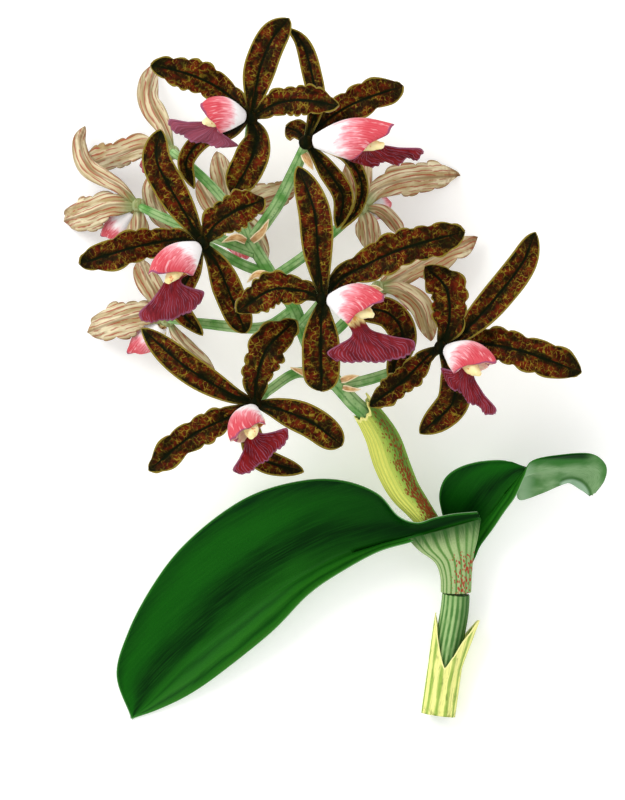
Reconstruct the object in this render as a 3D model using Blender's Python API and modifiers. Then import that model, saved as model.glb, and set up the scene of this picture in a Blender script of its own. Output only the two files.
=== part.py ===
"""Cattleya orchid: one cut flowering growth lying on a table, with its front blooms facing up.

Positions are read off one plan, seen from above: x runs to the right and y towards the cut end,
in steps of STEP metres, and z is the height over the table in millimetres.
"""
import math
import random

import bmesh
import bpy
from mathutils import Vector

STEP = 0.00042
PLAN_CENTRE = (335.0, 369.0)
MM = 0.001
GAP = 0.3
HUB_RADIUS = 3.2
TEPAL_THICK = 0.85
LIP_THICK = 0.8
LEAF_THICK = 1.3
SPATHE_THICK = 0.9
SHEATH_THICK = 0.8
PRESSED_UNDER = 0.36
BRACT_THICK = 0.7
BULB_RADIUS = 5.7
SEPAL_WAVE = 0.5
PETAL_WAVE = 1.5
HOOD_CUT = 0.38
SEED = 11

for thing in list(bpy.data.objects):
    bpy.data.objects.remove(thing, do_unlink=True)

home = bpy.data.collections.new("cattleya_orchid")
bpy.context.scene.collection.children.link(home)

COLOURS = {
    "leaf": ((0.012, 0.10, 0.012), 0.38),
    "bulb": ((0.12, 0.26, 0.10), 0.5),
    "sheath": ((0.80, 0.76, 0.22), 0.6),
    "spathe": ((0.45, 0.52, 0.09), 0.5),
    "stalk": ((0.13, 0.33, 0.12), 0.45),
    "bract": ((0.80, 0.52, 0.27), 0.6),
    "tepal": ((0.10, 0.025, 0.008), 0.45),
    "tepal_outside": ((0.42, 0.34, 0.18), 0.5),
    "lip": ((0.42, 0.05, 0.09), 0.45),
    "column": ((0.88, 0.76, 0.40), 0.45),
}
MATERIALS = {}
for slot, (colour, rough) in COLOURS.items():
    made = bpy.data.materials.new(slot)
    made.use_nodes = True
    shader = made.node_tree.nodes["Principled BSDF"]
    shader.inputs["Base Color"].default_value = (*colour, 1.0)
    shader.inputs["Roughness"].default_value = rough
    shader.inputs["Metallic"].default_value = 0.0
    MATERIALS[slot] = made


def at(x, y, z):
    """A place on the plan, in metres."""
    return Vector(((x - PLAN_CENTRE[0]) * STEP, (PLAN_CENTRE[1] - y) * STEP, z * MM))


def smooth_line(points, count):
    """Even steps along a smooth curve through the given points."""
    ends = [points[0] * 2 - points[1]] + list(points) + [points[-1] * 2 - points[-2]]
    fine = []
    for a, b, c, d in zip(ends, ends[1:], ends[2:], ends[3:]):
        for k in range(12):
            t = k / 12
            fine.append(
                0.5 * (2 * b + (c - a) * t + (2 * a - 5 * b + 4 * c - d) * t * t
                       + (3 * b - a - 3 * c + d) * t ** 3)
            )
    fine.append(points[-1].copy())
    run = [0.0]
    for a, b in zip(fine, fine[1:]):
        run.append(run[-1] + (b - a).length)
    out = []
    k = 0
    for i in range(count):
        goal = run[-1] * i / (count - 1)
        while k < len(run) - 2 and run[k + 1] < goal:
            k += 1
        share = (goal - run[k]) / max(run[k + 1] - run[k], 1e-9)
        out.append(fine[k].lerp(fine[k + 1], min(max(share, 0.0), 1.0)))
    return out


def put(name, mesh):
    thing = bpy.data.objects.new(name, mesh)
    home.objects.link(thing)
    return thing


def sheet(name, rows, thick, ring=False):
    """An open surface through rows of points, split into triangles and given its thickness."""
    wide = len(rows[0])
    faces = []
    for i in range(len(rows) - 1):
        for j in range(wide if ring else wide - 1):
            a = i * wide + j
            b = i * wide + (j + 1) % wide
            c = b + wide
            d = a + wide
            if (i + j) % 2:
                faces += [(a, b, c), (a, c, d)]
            else:
                faces += [(a, b, d), (b, c, d)]
    mesh = bpy.data.meshes.new(name)
    mesh.from_pydata([p for row in rows for p in row], [], faces)
    thing = put(name, mesh)
    solid = thing.modifiers.new("thickness", "SOLIDIFY")
    solid.thickness = thick * MM
    solid.offset = 0.0
    return settle(thing)


def settle(thing):
    """Applies the modifiers, or turns a curve into a closed mesh."""
    bpy.context.view_layer.update()
    depsgraph = bpy.context.evaluated_depsgraph_get()
    mesh = bpy.data.meshes.new_from_object(thing.evaluated_get(depsgraph))
    form = bmesh.new()
    form.from_mesh(mesh)
    bmesh.ops.remove_doubles(form, verts=form.verts, dist=0.00001)
    bmesh.ops.triangulate(form, faces=form.faces)
    bmesh.ops.recalc_face_normals(form, faces=form.faces)
    form.to_mesh(mesh)
    form.free()
    name = thing.name
    bpy.data.objects.remove(thing, do_unlink=True)
    return put(name, mesh)


def tube(name, points, radii, count, sides=1):
    """A round stem along a smooth curve; sides 1 gives six flats and 2 gives eight."""
    curve = bpy.data.curves.new(name, "CURVE")
    curve.dimensions = "3D"
    curve.bevel_depth = MM
    curve.bevel_resolution = sides
    curve.use_fill_caps = True
    line = smooth_line(points, count)
    spline = curve.splines.new("POLY")
    spline.points.add(count - 1)
    for i, p in enumerate(line):
        spline.points[i].co = (*p, 1.0)
        spline.points[i].radius = mix(radii, i / (count - 1))
    return settle(put(name, curve))


def loft(name, rings):
    """A closed body through rings of points, with a capped end at each side."""
    wide = len(rings[0])
    points = [p for ring in rings for p in ring]
    faces = []
    for i in range(len(rings) - 1):
        for j in range(wide):
            a = i * wide + j
            b = i * wide + (j + 1) % wide
            faces += [(a, b, b + wide), (a, b + wide, a + wide)]
    faces.append(tuple(reversed(range(wide))))
    faces.append(tuple(range(len(points) - wide, len(points))))
    mesh = bpy.data.meshes.new(name)
    mesh.from_pydata(points, [], faces)
    return settle(put(name, mesh))


def fuse(name, first, others, slot):
    """One Boolean union of a piece with a collection of pieces."""
    group = bpy.data.collections.new(name + "_parts")
    bpy.context.scene.collection.children.link(group)
    for thing in others:
        home.objects.unlink(thing)
        group.objects.link(thing)
    join = first.modifiers.new("union", "BOOLEAN")
    join.operation = "UNION"
    join.solver = "EXACT"
    join.operand_type = "COLLECTION"
    join.collection = group
    whole = settle(first)
    for thing in list(group.objects):
        bpy.data.objects.remove(thing, do_unlink=True)
    bpy.data.collections.remove(group)
    return finish(whole, name, slot)


def finish(thing, name, slot):
    thing.name = name
    thing.data.name = name
    thing.data.materials.clear()
    thing.data.materials.append(MATERIALS[slot])
    return thing


def mix(values, s):
    """Reads a list of values spread evenly over 0 to 1."""
    place = s * (len(values) - 1)
    k = min(int(place), len(values) - 2)
    return values[k] + (values[k + 1] - values[k]) * (place - k)


def ball(name, centre, radius):
    form = bmesh.new()
    bmesh.ops.create_icosphere(form, subdivisions=2, radius=radius * MM)
    bmesh.ops.translate(form, verts=form.verts, vec=centre)
    mesh = bpy.data.meshes.new(name)
    form.to_mesh(mesh)
    form.free()
    return put(name, mesh)


def tepal_outline(s, blunt):
    """Half width of a sepal or petal, as a share of its widest; a high blunt keeps the end wide."""
    if s < 0.5:
        return 0.27 + 0.73 * math.sin(math.pi * s)
    return max((1 - ((s - 0.5) / 0.5) ** blunt) ** 0.65, 0.05 * blunt)


def tepal(name, hub, face, points, wide, blunt, petal, draw):
    """A sepal, or a petal with a waved and uneven edge, from the hub to its tip."""
    way = (points[0] - hub).normalized()
    line = smooth_line([hub + way * 1.8 * MM] + points, 9 if petal else 7)
    wave = PETAL_WAVE if petal else SEPAL_WAVE
    phase = draw.uniform(0, 6.28)
    rows = []
    last = len(line) - 1
    for i, p in enumerate(line):
        s = i / last
        along = (line[min(i + 1, last)] - line[max(i - 1, 0)]).normalized()
        up = (face - along * face.dot(along)).normalized()
        side = along.cross(up)
        half = wide / 2 * STEP * tepal_outline(s, blunt)
        row = []
        for v in (-1, 0, 1):
            beat = math.sin(14.0 * s + phase + (2.1 if v > 0 else 0))
            jag = 1 + (0.10 * beat if petal else 0.0)
            lift = 0.20 * half * v * v + wave * MM * beat * v * v * min(1.0, 3 * s)
            row.append(p + side * (v * half * jag) + up * lift)
        rows.append(row)
    return sheet(name, rows, TEPAL_THICK)


def lip_frame(a, u):
    a = Vector(a).normalized()
    u = Vector(u)
    u = (u - a * u.dot(a)).normalized()
    return a, u, a.cross(u)


def hood_radius(t, big):
    if t < 0.55:
        return 2.5 + (big - 2.5) * math.sin(math.pi / 2 * t / 0.55)
    return big * (1 - 0.30 * ((t - 0.55) / 0.45) ** 2)


def lip(name, hub, spec, rows_hood, rows_fan):
    """Side lobes rolled into a hood round the column, and a ruffled fan from its open side."""
    a, u, w = lip_frame(spec["a"], spec["u"])
    length, big = spec["long"], spec["big"]
    start = HUB_RADIUS + GAP + 0.5
    rows = []
    for i in range(rows_hood):
        t = i / (rows_hood - 1)
        reach = math.radians(160 - 85 * max(0.0, (t - 0.3) / 0.7) ** 0.8)
        row = []
        for j in range(7):
            turn = (j / 3 - 1) * reach
            r = hood_radius(t, big)
            d = start + (length - start) * t * (1 - HOOD_CUT * t * t * (turn / reach) ** 2)
            off = u * (r * math.cos(turn) - 2.5 * t * t) + w * (r * math.sin(turn))
            row.append(hub + (a * d + off) * MM)
        rows.append(row)
    hood = sheet(name, rows, LIP_THICK)
    r1 = hood_radius(0.3, big)
    claw = hub + (a * (start + 0.8) - u * 2.0) * MM
    mid = hub + (a * (start + 0.3 * (length - start)) - u * (0.84 * r1)) * MM
    neck, low, side = fan_points(hub, spec, a, u, w)
    line = smooth_line([claw, mid, neck, neck.lerp(low, 0.55), low], rows_fan)
    rows = []
    for i, p in enumerate(line):
        s = i / (rows_fan - 1)
        wide = mix([1.9, 3.6, 4.4, 3.8, 4.6, 0.62 * spec["fan"], 0.98 * spec["fan"], 0.88 * spec["fan"]], s)
        along = (line[min(i + 1, rows_fan - 1)] - line[max(i - 1, 0)]).normalized()
        across = w.lerp(side, min(1.0, max(0.0, (s - 0.2) / 0.5))).normalized()
        face = across.cross(along).normalized()
        row = []
        for j in range(7):
            v = j / 3 - 1
            ruffle = 1.3 * math.cos(3 * math.pi * v) * max(0.0, (s - 0.5) / 0.5) ** 1.5
            back = 0.20 * wide * v * v * max(0.0, (s - 0.45) / 0.55)
            row.append(p + (across * (v * wide) - along * back + face * ruffle) * MM)
        rows.append(row)
    fan = sheet(name + "_fan", rows, LIP_THICK)
    return fuse(name, hood, [fan], "lip")


def fan_points(hub, spec, a, u, w):
    if "neck" in spec:
        side = Vector(spec["side"]).normalized()
        return at(*spec["neck"]), at(*spec["low"]), side if side.dot(w) > 0 else -side
    neck = hub + (a * (0.55 * spec["long"]) - u * (0.95 * spec["big"])) * MM
    low = neck + (a * 0.62 - u * 0.78) * spec["drop"] * MM
    return neck, low, w


def column(name, hub, spec):
    """A rod inside the hood, whose cap shows at the open side that faces up."""
    a, u, w = lip_frame(spec["a"], spec["u"])
    if spec.get("neck"):
        lean = w * math.copysign(0.77, w.z) - u * 0.64
        offsets = (0.0, 1.0, 3.0, 4.6)
    else:
        lean = -u
        offsets = (0.0, 0.5, 0.9, 1.3)
    path = []
    for share, off in zip((0.0, 0.36, 0.62, 0.84), offsets):
        d = HUB_RADIUS + GAP + (spec["long"] - HUB_RADIUS) * share
        path.append(hub + (a * d + lean * off) * MM)
    return finish(tube(name, path, [1.1, 1.5, 1.9, 2.4, 1.5], 6), name, "column")


# One bloom: where its hub is, the way it faces, its tepals (plan points, width, how blunt the end
# is, and whether it is a waved petal) and its lip.
BLOOMS = [
    dict(hub=(251, 117, 66), face=(-0.1, 0.1, 1), out=False, tepals=[
        ([(260, 70, 69), (272, 40, 69), (289, 18, 64)], 33, 3.0, False),
        ([(276, 104, 70), (303, 100, 74), (339, 106, 76)], 32, 2.4, True),
        ([(226, 92, 61), (193, 75, 62), (151, 64, 62)], 34, 3.4, True),
        ([(257, 138, 66), (250, 162, 65), (232, 193, 61)], 35, 3.4, False),
        ([(232, 130, 57), (204, 137, 50), (186, 160, 46), (194, 187, 44)], 20, 2.4, False),
    ], lip=dict(a=(-0.85, 0.10, 0.52), u=(0, 0.6, 0.8), long=26, big=7.4,
                neck=(222, 121, 67.5), low=(194, 139, 62), side=(0.92, -0.36, 0), fan=15.5)),
    dict(hub=(306, 142, 70), face=(0.1, 0.1, 1), out=False, tepals=[
        ([(316, 104, 66), (311, 70, 62), (302, 42, 59), (288, 27, 57)], 20, 2.4, False),
        ([(317, 128, 64), (339, 111, 66), (366, 98, 69), (403, 86, 67)], 34, 5.0, True),
        ([(299, 132, 65), (286, 126, 61)], 24, 2.4, False),
        ([(326, 168, 64), (343, 196, 60), (337, 227, 56)], 22, 2.4, False),
        ([(345, 155, 58), (361, 180, 51), (358, 206, 48), (341, 228, 47)], 14, 2.4, False),
    ], lip=dict(a=(0.935, 0.085, 0.34), u=(-0.1, 0.8, 0.6), long=40, big=8.5,
                neck=(366, 147, 73), low=(396, 161, 60), side=(0.98, 0.16, 0), fan=15.5)),
    dict(hub=(203, 242, 70), face=(-0.1, 0, 1), out=False, tepals=[
        ([(189, 218, 71), (170, 186, 71), (157, 158, 70), (161, 129, 66)], 32, 2.8, False),
        ([(216, 224, 72), (237, 210, 74), (265, 199, 71)], 39, 2.4, True),
        ([(172, 239, 63), (132, 247, 66), (80, 263, 64)], 34, 4.6, True),
        ([(219, 266, 69), (233, 300, 66), (246, 332, 60)], 30, 4.0, False),
        ([(193, 268, 58), (179, 303, 52), (203, 334, 50)], 22, 2.4, False),
    ], lip=dict(a=(-0.62, -0.48, 0.62), u=(-0.35, 0.8, 0.45), long=33, big=8.2,
                neck=(173, 281, 76), low=(172, 317, 71), side=(0.94, 0.3, 0), fan=14.5)),
    dict(hub=(323, 298, 78), face=(0, 0, 1), out=False, tepals=[
        ([(318, 255, 80), (314, 210, 80), (298, 166, 74)], 33, 2.4, False),
        ([(346, 275, 74), (400, 249, 80), (464, 231, 77)], 38, 5.0, True),
        ([(303, 290, 78), (272, 289, 79), (237, 311, 75)], 36, 2.4, True),
        ([(321, 325, 77), (321, 358, 76), (322, 390, 70)], 38, 4.6, False),
        ([(350, 306, 68), (388, 312, 60), (403, 338, 54), (389, 377, 48)], 30, 2.4, False),
    ], lip=dict(a=(0.80, -0.107, 0.58), u=(0, 0.85, 0.5), long=32, big=8.6,
                neck=(356, 322, 83), low=(378, 360, 79), side=(0.99, 0.14, 0), fan=18.5)),
    dict(hub=(441, 346, 62), face=(0.1, 0, 1), out=False, tepals=[
        ([(464, 330, 63), (494, 298, 65), (521, 263, 63), (535, 231, 58)], 31, 3.2, False),
        ([(449, 318, 65), (446, 288, 66), (425, 265, 62)], 40, 2.4, True),
        ([(478, 342, 55), (522, 350, 60), (581, 371, 57)], 37, 4.6, True),
        ([(428, 354, 61), (402, 380, 60), (369, 405, 55)], 29, 2.4, True),
        ([(452, 370, 56), (452, 402, 50), (420, 432, 44)], 33, 2.4, False),
    ], lip=dict(a=(0.72, -0.32, 0.69), u=(0.35, 0.85, 0.4), long=31, big=8.2,
                neck=(464, 366, 70), low=(469, 400, 63), side=(0.80, -0.58, 0), fan=14.5)),
    dict(hub=(255, 402, 62), face=(0, 0, 1), out=False, tepals=[
        ([(226, 390, 64), (183, 363, 65), (142, 327, 58)], 29, 2.4, False),
        ([(257, 378, 65), (268, 346, 66), (296, 319, 61)], 40, 2.4, True),
        ([(280, 408, 63), (312, 421, 63), (342, 444, 57)], 32, 4.4, False),
        ([(230, 415, 60), (192, 434, 62), (149, 469, 58)], 32, 3.6, True),
        ([(250, 425, 54), (262, 457, 49), (304, 470, 47)], 25, 2.4, False),
    ], lip=dict(a=(-0.25, -0.62, 0.74), u=(-0.75, 0.35, 0.4), long=26, big=7.6,
                neck=(252, 435, 71), low=(267, 458, 67), side=(0.79, 0.61, 0), fan=14.5)),
    dict(hub=(172, 150, 30), face=(-0.3, 0.1, -1), out=True, tepals=[
        ([(163, 125, 29), (148, 92, 20), (155, 60, 1)], 25, 2.4, False),
        ([(144, 144, 30), (112, 153, 22), (79, 163, 6)], 30, 2.4, True),
        ([(164, 168, 31), (152, 186, 29), (158, 212, 21), (174, 226, 13)], 21, 2.4, False),
    ], lip=dict(a=(-0.62, -0.32, -0.75), u=(0.1, 0.3, 0.8), long=21, big=5.2, drop=6, fan=6)),
    dict(hub=(138, 203, 30), face=(-0.3, -0.1, -1), out=True, tepals=[
        ([(118, 184, 31), (88, 165, 24), (78, 140, 14), (83, 123, 9)], 20, 2.4, False),
        ([(110, 203, 31), (86, 211, 22), (62, 218, 1)], 36, 2.4, True),
        ([(138, 226, 29), (132, 252, 20)], 24, 2.4, False),
    ], lip=dict(a=(-0.60, -0.51, -0.76), u=(0.1, 0.3, 0.8), long=27, big=5.2, drop=8, fan=7)),
    dict(hub=(167, 318, 30), face=(-0.1, -0.1, -1), out=True, tepals=[
        ([(148, 312, 30), (120, 318, 24), (86, 330, 8)], 38, 2.4, True),
        ([(157, 295, 29), (146, 276, 24), (138, 257, 14)], 25, 2.4, False),
        ([(178, 336, 29), (193, 353, 25), (214, 369, 16)], 18, 2.4, False),
    ], lip=dict(a=(-0.60, -0.50, -0.64), u=(0.1, 0.3, 0.8), long=27, big=5.2, drop=8, fan=7)),
    dict(hub=(361, 205, 32), face=(0.2, 0.1, -1), out=True, tepals=[
        ([(378, 187, 32), (412, 176, 24), (459, 172, 1)], 34, 2.4, True),
        ([(363, 183, 32), (362, 148, 20)], 20, 2.4, False),
        ([(352, 186, 29), (346, 162, 20)], 15, 2.4, False),
        ([(367, 222, 31), (369, 247, 23)], 26, 2.4, False),
        ([(380, 208, 31), (393, 219, 26), (403, 235, 18)], 16, 2.4, False),
    ], lip=dict(a=(0.5, 0.05, -0.86), u=(0.6, 0, 0.7), long=23, big=5.4, drop=6, fan=7)),
    dict(hub=(378, 286, 28), face=(0.2, -0.1, -1), out=True, tepals=[
        ([(400, 288, 31), (421, 305, 29), (432, 339, 17)], 24, 2.4, False),
        ([(404, 272, 27), (440, 252, 20), (478, 236, 8)], 34, 2.4, True),
        ([(391, 273, 26), (407, 260, 18)], 17, 2.4, False),
    ], lip=dict(a=(0.74, -0.2, -0.78), u=(0, 0.4, 0.8), long=27, big=5.4, drop=8, fan=7)),
    dict(hub=(232, 215, 28), face=(0, 0.1, -1), out=True, tepals=[
        ([(226, 190, 28), (216, 149, 22)], 25, 2.4, False),
        ([(213, 205, 27), (197, 178, 20)], 20, 2.4, False),
        ([(258, 200, 27), (295, 186, 18)], 32, 2.4, True),
        ([(252, 223, 29), (267, 258, 28)], 16, 2.4, False),
    ], lip=dict(a=(0.25, -0.75, -0.6), u=(0, 0.4, 0.8), long=22, big=5.6, drop=7, fan=7)),
]

# Flower stems: plan points from inside the stalk to the back of each bloom, the radius, and how
# far the stem ends from its hub, in millimetres.
PEDICELS = [
    ([(250, 240, 54), (243, 215, 51), (246, 170, 50), (251, 122, 54)], 2.2, 0.4),
    ([(254, 236, 54), (276, 205, 54), (293, 172, 55), (304, 148, 60)], 2.7, 0.45),
    ([(266, 272, 52), (242, 263, 53), (214, 248, 59)], 2.2, 0.3),
    ([(300, 325, 48), (312, 312, 58), (321, 301, 67)], 2.2, 0.35),
    ([(336, 385, 41), (372, 377, 38), (415, 362, 41), (436, 349, 50)], 2.3, 0.25),
    ([(334, 384, 42), (300, 371, 42), (270, 388, 48)], 2.2, 0.35),
    ([(250, 242, 54), (222, 197, 46), (192, 166, 40), (175, 152, 39)], 2.1, 1.0),
    ([(256, 252, 54), (215, 236, 46), (175, 221, 40), (146, 208, 38)], 2.4, 0.75),
    ([(294, 308, 50), (262, 326, 42), (205, 322, 38), (173, 318, 39)], 2.3, 1.15),
    ([(273, 276, 52), (306, 253, 46), (342, 223, 42), (358, 208, 41)], 2.2, 0.95),
    ([(312, 348, 46), (340, 325, 40), (366, 296, 37)], 2.2, 0.3),
    ([(256, 250, 54), (246, 234, 46), (235, 219, 38)], 2.0, 0.3),
]
STALK = [(443, 545, 12.6), (430, 521, 18), (405, 490, 24.2), (385, 442, 31), (366, 413, 37),
         (348, 395, 40), (312, 350, 46), (293, 305, 50), (272, 275, 52), (250, 240, 54)]
STALK_RADII = [2.5, 2.6, 2.8, 3.2, 3.4, 3.3, 3.0, 2.9, 2.8, 2.6]

# Bracts: plan points from the root, which lies on its stem, to the tip, and the width.
BRACTS = [
    ([(246, 240, 56.7), (236, 236, 56.7), (222, 241, 53.7)], 8),
    ([(252, 240, 58), (262, 231, 59.5), (269, 218, 57)], 8),
    ([(314, 375, 45.6), (304, 371, 46), (290, 366, 45)], 8),
    ([(341, 379, 45.5), (350, 376, 44.5), (359, 374, 43)], 7),
    ([(343, 386, 45.5), (352, 388, 44), (361, 388, 42.5)], 6),
    ([(269, 274, 56.2), (257, 273, 56.6), (247, 281, 55)], 8),
    ([(304, 153, 64.8), (308, 160, 64.4), (313, 169, 62.7)], 9),
    ([(366, 292, 39.4), (373, 287, 37.4), (383, 288, 33.6)], 9),
]


def make_bloom(number, spec):
    draw = random.Random(SEED + number)
    hub = at(*spec["hub"])
    face = Vector(spec["face"]).normalized()
    name = f"bloom_{number:02d}_"
    core = ball(name + "tepals", hub, HUB_RADIUS)
    blades = []
    for k, (points, wide, blunt, petal) in enumerate(spec["tepals"]):
        places = [at(*p) for p in points]
        blades.append(tepal(f"{name}blade_{k}", hub, face, places, wide, blunt, petal, draw))
    fuse(name + "tepals", core, blades, "tepal_outside" if spec["out"] else "tepal")
    lip(name + "lip", hub, spec["lip"], 5 if spec["out"] else 6, 5 if spec["out"] else 7)
    column(name + "column", hub, spec["lip"])


def make_stalk():
    main = tube("flower_stalk", [at(*p) for p in STALK], STALK_RADII, 14, 2)
    stems = []
    for k, (points, radius, seat) in enumerate(PEDICELS):
        hub = at(*BLOOMS[k]["hub"])
        places = [at(*p) for p in points]
        way = (places[-1] - hub).normalized()
        places.append(hub + way * (HUB_RADIUS + seat) * MM)
        end = 1.6 if BLOOMS[k]["out"] else 2.0
        thin = [radius, radius, radius * 0.95, end]
        stems.append(tube(f"stem_{k}", places, thin, 6))
    fuse("flower_stalk", main, stems, "stalk")


def make_bract(number, points, wide):
    """A small tapered scale that lies along its stem."""
    line = smooth_line([at(*p) for p in points], 5)
    rows = []
    for i, p in enumerate(line):
        along = (line[min(i + 1, 4)] - line[max(i - 1, 0)]).normalized()
        up = (Vector((0, 0, 1)) - along * along.z).normalized()
        side = along.cross(up)
        half = wide / 2 * STEP * mix([0.8, 1.0, 0.85, 0.55, 0.15], i / 4)
        rows.append([p + side * (v * half) - up * (0.25 * half * abs(v)) for v in (-1, 0, 1)])
    name = f"bract_{number}"
    finish(sheet(name, rows, BRACT_THICK), name, "bract")


def rail(points, count):
    return smooth_line([at(*p) for p in points], count)


def leaf_sheet(name, far, mid, near, count, between):
    """A leaf through three rails: one margin, the midrib and the other margin."""
    a, b, c = rail(far, count), rail(mid, count), rail(near, count)
    rows = []
    for i in range(count):
        row = []
        for p, q in ((a[i], b[i]), (c[i], b[i])):
            part = []
            for k in range(between + 1):
                share = k / (between + 1)
                sag = 0.10 * (p - q).length * math.sin(math.pi * share)
                spot = p.lerp(q, share)
                spot.z = max(spot.z - sag, LEAF_THICK / 2 * MM)
                part.append(spot)
            row.append(part)
        rows.append(row[0] + [b[i]] + list(reversed(row[1])))
    return sheet(name, rows, LEAF_THICK)


def ribbed_ring(centre, along, up, wide, deep, ribs, rib, count):
    along = along.normalized()
    side = along.cross(up).normalized()
    lift = side.cross(along)
    ring = []
    for j in range(count):
        turn = 2 * math.pi * j / count
        swell = 1 + rib * math.cos(ribs * turn)
        ring.append(centre + (side * (wide * math.cos(turn)) + lift * (deep * math.sin(turn)))
                    * swell * MM)
    return ring


LEFT_FAR = [(478, 511, 25), (455, 513, 26.5), (435, 517, 27.5), (417, 522, 28.5), (398, 515, 30),
            (378, 493, 31), (345, 480, 31), (307, 479, 29), (259, 491, 26), (219, 514, 22),
            (179, 549, 17), (150, 588, 12), (127, 632, 8), (115, 676, 4), (130, 720, 1.2)]
LEFT_MID = [(480, 515, 24), (455, 521, 25), (432, 528, 24), (405, 537, 21), (378, 545, 18),
            (330, 562, 14), (260, 602, 7), (191, 657, 1.5), (130, 720, 0.65)]
LEFT_NEAR = [(482, 519, 22), (455, 527, 22), (432, 534, 22), (412, 541, 23), (378, 551, 23),
             (338, 573, 21), (307, 595, 19), (271, 632, 15), (219, 674, 9), (187, 696, 5),
             (156, 711, 2.5), (130, 720, 1.2)]
RIGHT_FAR = [(457, 553, 10.9), (450, 535, 12), (443, 513, 15), (440, 494, 20), (446, 477, 24),
             (461, 466, 26), (484, 460, 27), (509, 460, 27), (521, 469, 22), (519, 486, 16),
             (521, 499, 12.5), (544, 492, 11), (567, 482, 11.5), (581, 488, 12.5), (592, 495, 14.5)]
RIGHT_MID = [(465, 560, 10.9), (469, 545, 12), (479, 528, 13), (494, 510, 18), (511, 488, 24),
             (527, 474, 27), (558, 467, 25), (588, 464, 22), (603, 474, 18), (594, 494, 14)]
RIGHT_NEAR = [(472, 566, 10.4), (477, 556, 11.4), (482, 545, 12), (494, 528, 17), (505, 511, 23),
              (516, 495, 28), (525, 475, 32), (533, 460, 34), (561, 454, 32), (592, 453, 28),
              (607, 464, 22), (606, 479, 18), (597, 492, 14.5)]
BASE_RINGS = [(457, 592, 13.5, 6.3, 5.9, 0.0), (457, 575, 15, 6.6, 6.1, 0.05),
              (455, 559, 17.2, 8.2, 5.2, 0.15), (449, 544, 20, 12.4, 3.8, 0.2),
              (445, 528, 22.6, 15.6, 2.2, 0.28)]


def make_leaves():
    """Both leaves. The big one lies on the table, where its keel is pressed flat."""
    blade = leaf_sheet("leaf_left", LEFT_FAR, LEFT_MID, LEFT_NEAR, 20, 2)
    rings = []
    for x, y, z, wide, deep, lean in BASE_RINGS:
        along = Vector((-lean, 1, 0.12))
        rings.append(ribbed_ring(at(x, y, z), along, Vector((0, 0, 1)), wide, deep, 9, 0.05, 18))
    base = loft("leaf_left_base", rings)
    left = fuse("leaf_left", blade, [base], "leaf")
    for corner in left.data.vertices:
        if corner.co.z < PRESSED_UNDER * MM:
            corner.co.z = 0.0
    right = leaf_sheet("leaf_right", RIGHT_FAR, RIGHT_MID, RIGHT_NEAR, 18, 2)
    finish(right, "leaf_right", "leaf")


def make_bulb():
    line = rail([(439, 716, 7.6), (447, 660, 9), (455, 615, 12), (457, 594, 13.5)], 7)
    rings = []
    for i, p in enumerate(line):
        along = line[min(i + 1, 6)] - line[max(i - 1, 0)]
        size = BULB_RADIUS * mix([0.92, 1.0, 1.04, 1.0], i / 6)
        rings.append(ribbed_ring(p, along, Vector((0, 0, 1)), size, size, 9, 0.05, 18))
    finish(loft("pseudobulb", rings), "pseudobulb", "bulb")
    rows = []
    count = 16
    for i in range(5):
        s = i / 4
        row = []
        for j in range(count):
            turn = 2 * math.pi * j / count
            side = math.cos(turn)
            peak = 0.40 + 0.42 * abs(side) ** 1.3
            place = s * peak
            spot, along = line_at(line, place)
            across = along.cross(Vector((0, 0, 1))).normalized()
            lift = across.cross(along)
            flare = 1 + (0.45 * max(0.0, side) ** 3 + 0.15) * max(0.0, s - 0.5) * 2
            r = (BULB_RADIUS + GAP + SHEATH_THICK / 2 + 0.4) * flare
            spot = spot + (across * (r * side) + lift * (r * math.sin(turn))) * MM
            spot.z = max(spot.z, SHEATH_THICK / 2 * MM)
            row.append(spot)
        rows.append(row)
    finish(sheet("basal_sheath", rows, SHEATH_THICK, ring=True), "basal_sheath", "sheath")


def line_at(line, share):
    place = min(max(share, 0.0), 0.9999) * (len(line) - 1)
    k = int(place)
    return line[k].lerp(line[k + 1], place - k), (line[k + 1] - line[k]).normalized()


SPATHE = [(431.6, 524, 17.8), (417, 505, 21.5), (404, 488, 24.5), (393, 465, 27.3),
          (384, 440, 31.3), (376, 425, 34), (366, 411, 37)]


def make_spathe():
    line = rail(SPATHE, 9)
    rows = []
    for i, p in enumerate(line):
        s = i / 8
        along = (line[min(i + 1, 8)] - line[max(i - 1, 0)]).normalized()
        across = along.cross(Vector((0, 0, 1))).normalized()
        lift = across.cross(along)
        wide = mix([4.0, 5.0, 6.2, 6.9, 7.0, 6.2, 5.0], s)
        deep = mix([4.7, 4.9, 5.1, 5.2, 5.1, 5.0, 4.8], s)
        row = []
        for j in range(12):
            turn = 2 * math.pi * j / 12
            reach = 6.0 * max(0.0, s - 0.85) / 0.15 * max(0.0, math.cos(turn)) ** 2
            row.append(p + (across * (wide * math.cos(turn)) + lift * (deep * math.sin(turn))
                            + along * reach) * MM)
        rows.append(row)
    finish(sheet("spathe", rows, SPATHE_THICK, ring=True), "spathe", "spathe")


make_bulb()
make_leaves()
make_spathe()
make_stalk()
for index, bract in enumerate(BRACTS):
    make_bract(index + 1, *bract)
for index, bloom in enumerate(BLOOMS):
    make_bloom(index + 1, bloom)
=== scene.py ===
# %% [markdown]
# # A spotted cattleya, laid on a table
#
# The real thing is one cut flowering growth: a ribbed pseudobulb with a papery sheath, two leathery
# leaves, a speckled spathe and a branched stalk with twelve waxy blooms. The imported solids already
# hold every piece in its place, with few facets. Here each one is replaced by a finer piece of the
# same form, made from the same plan points, and gets a skin painted with nodes.

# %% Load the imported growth
import math
import random

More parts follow.
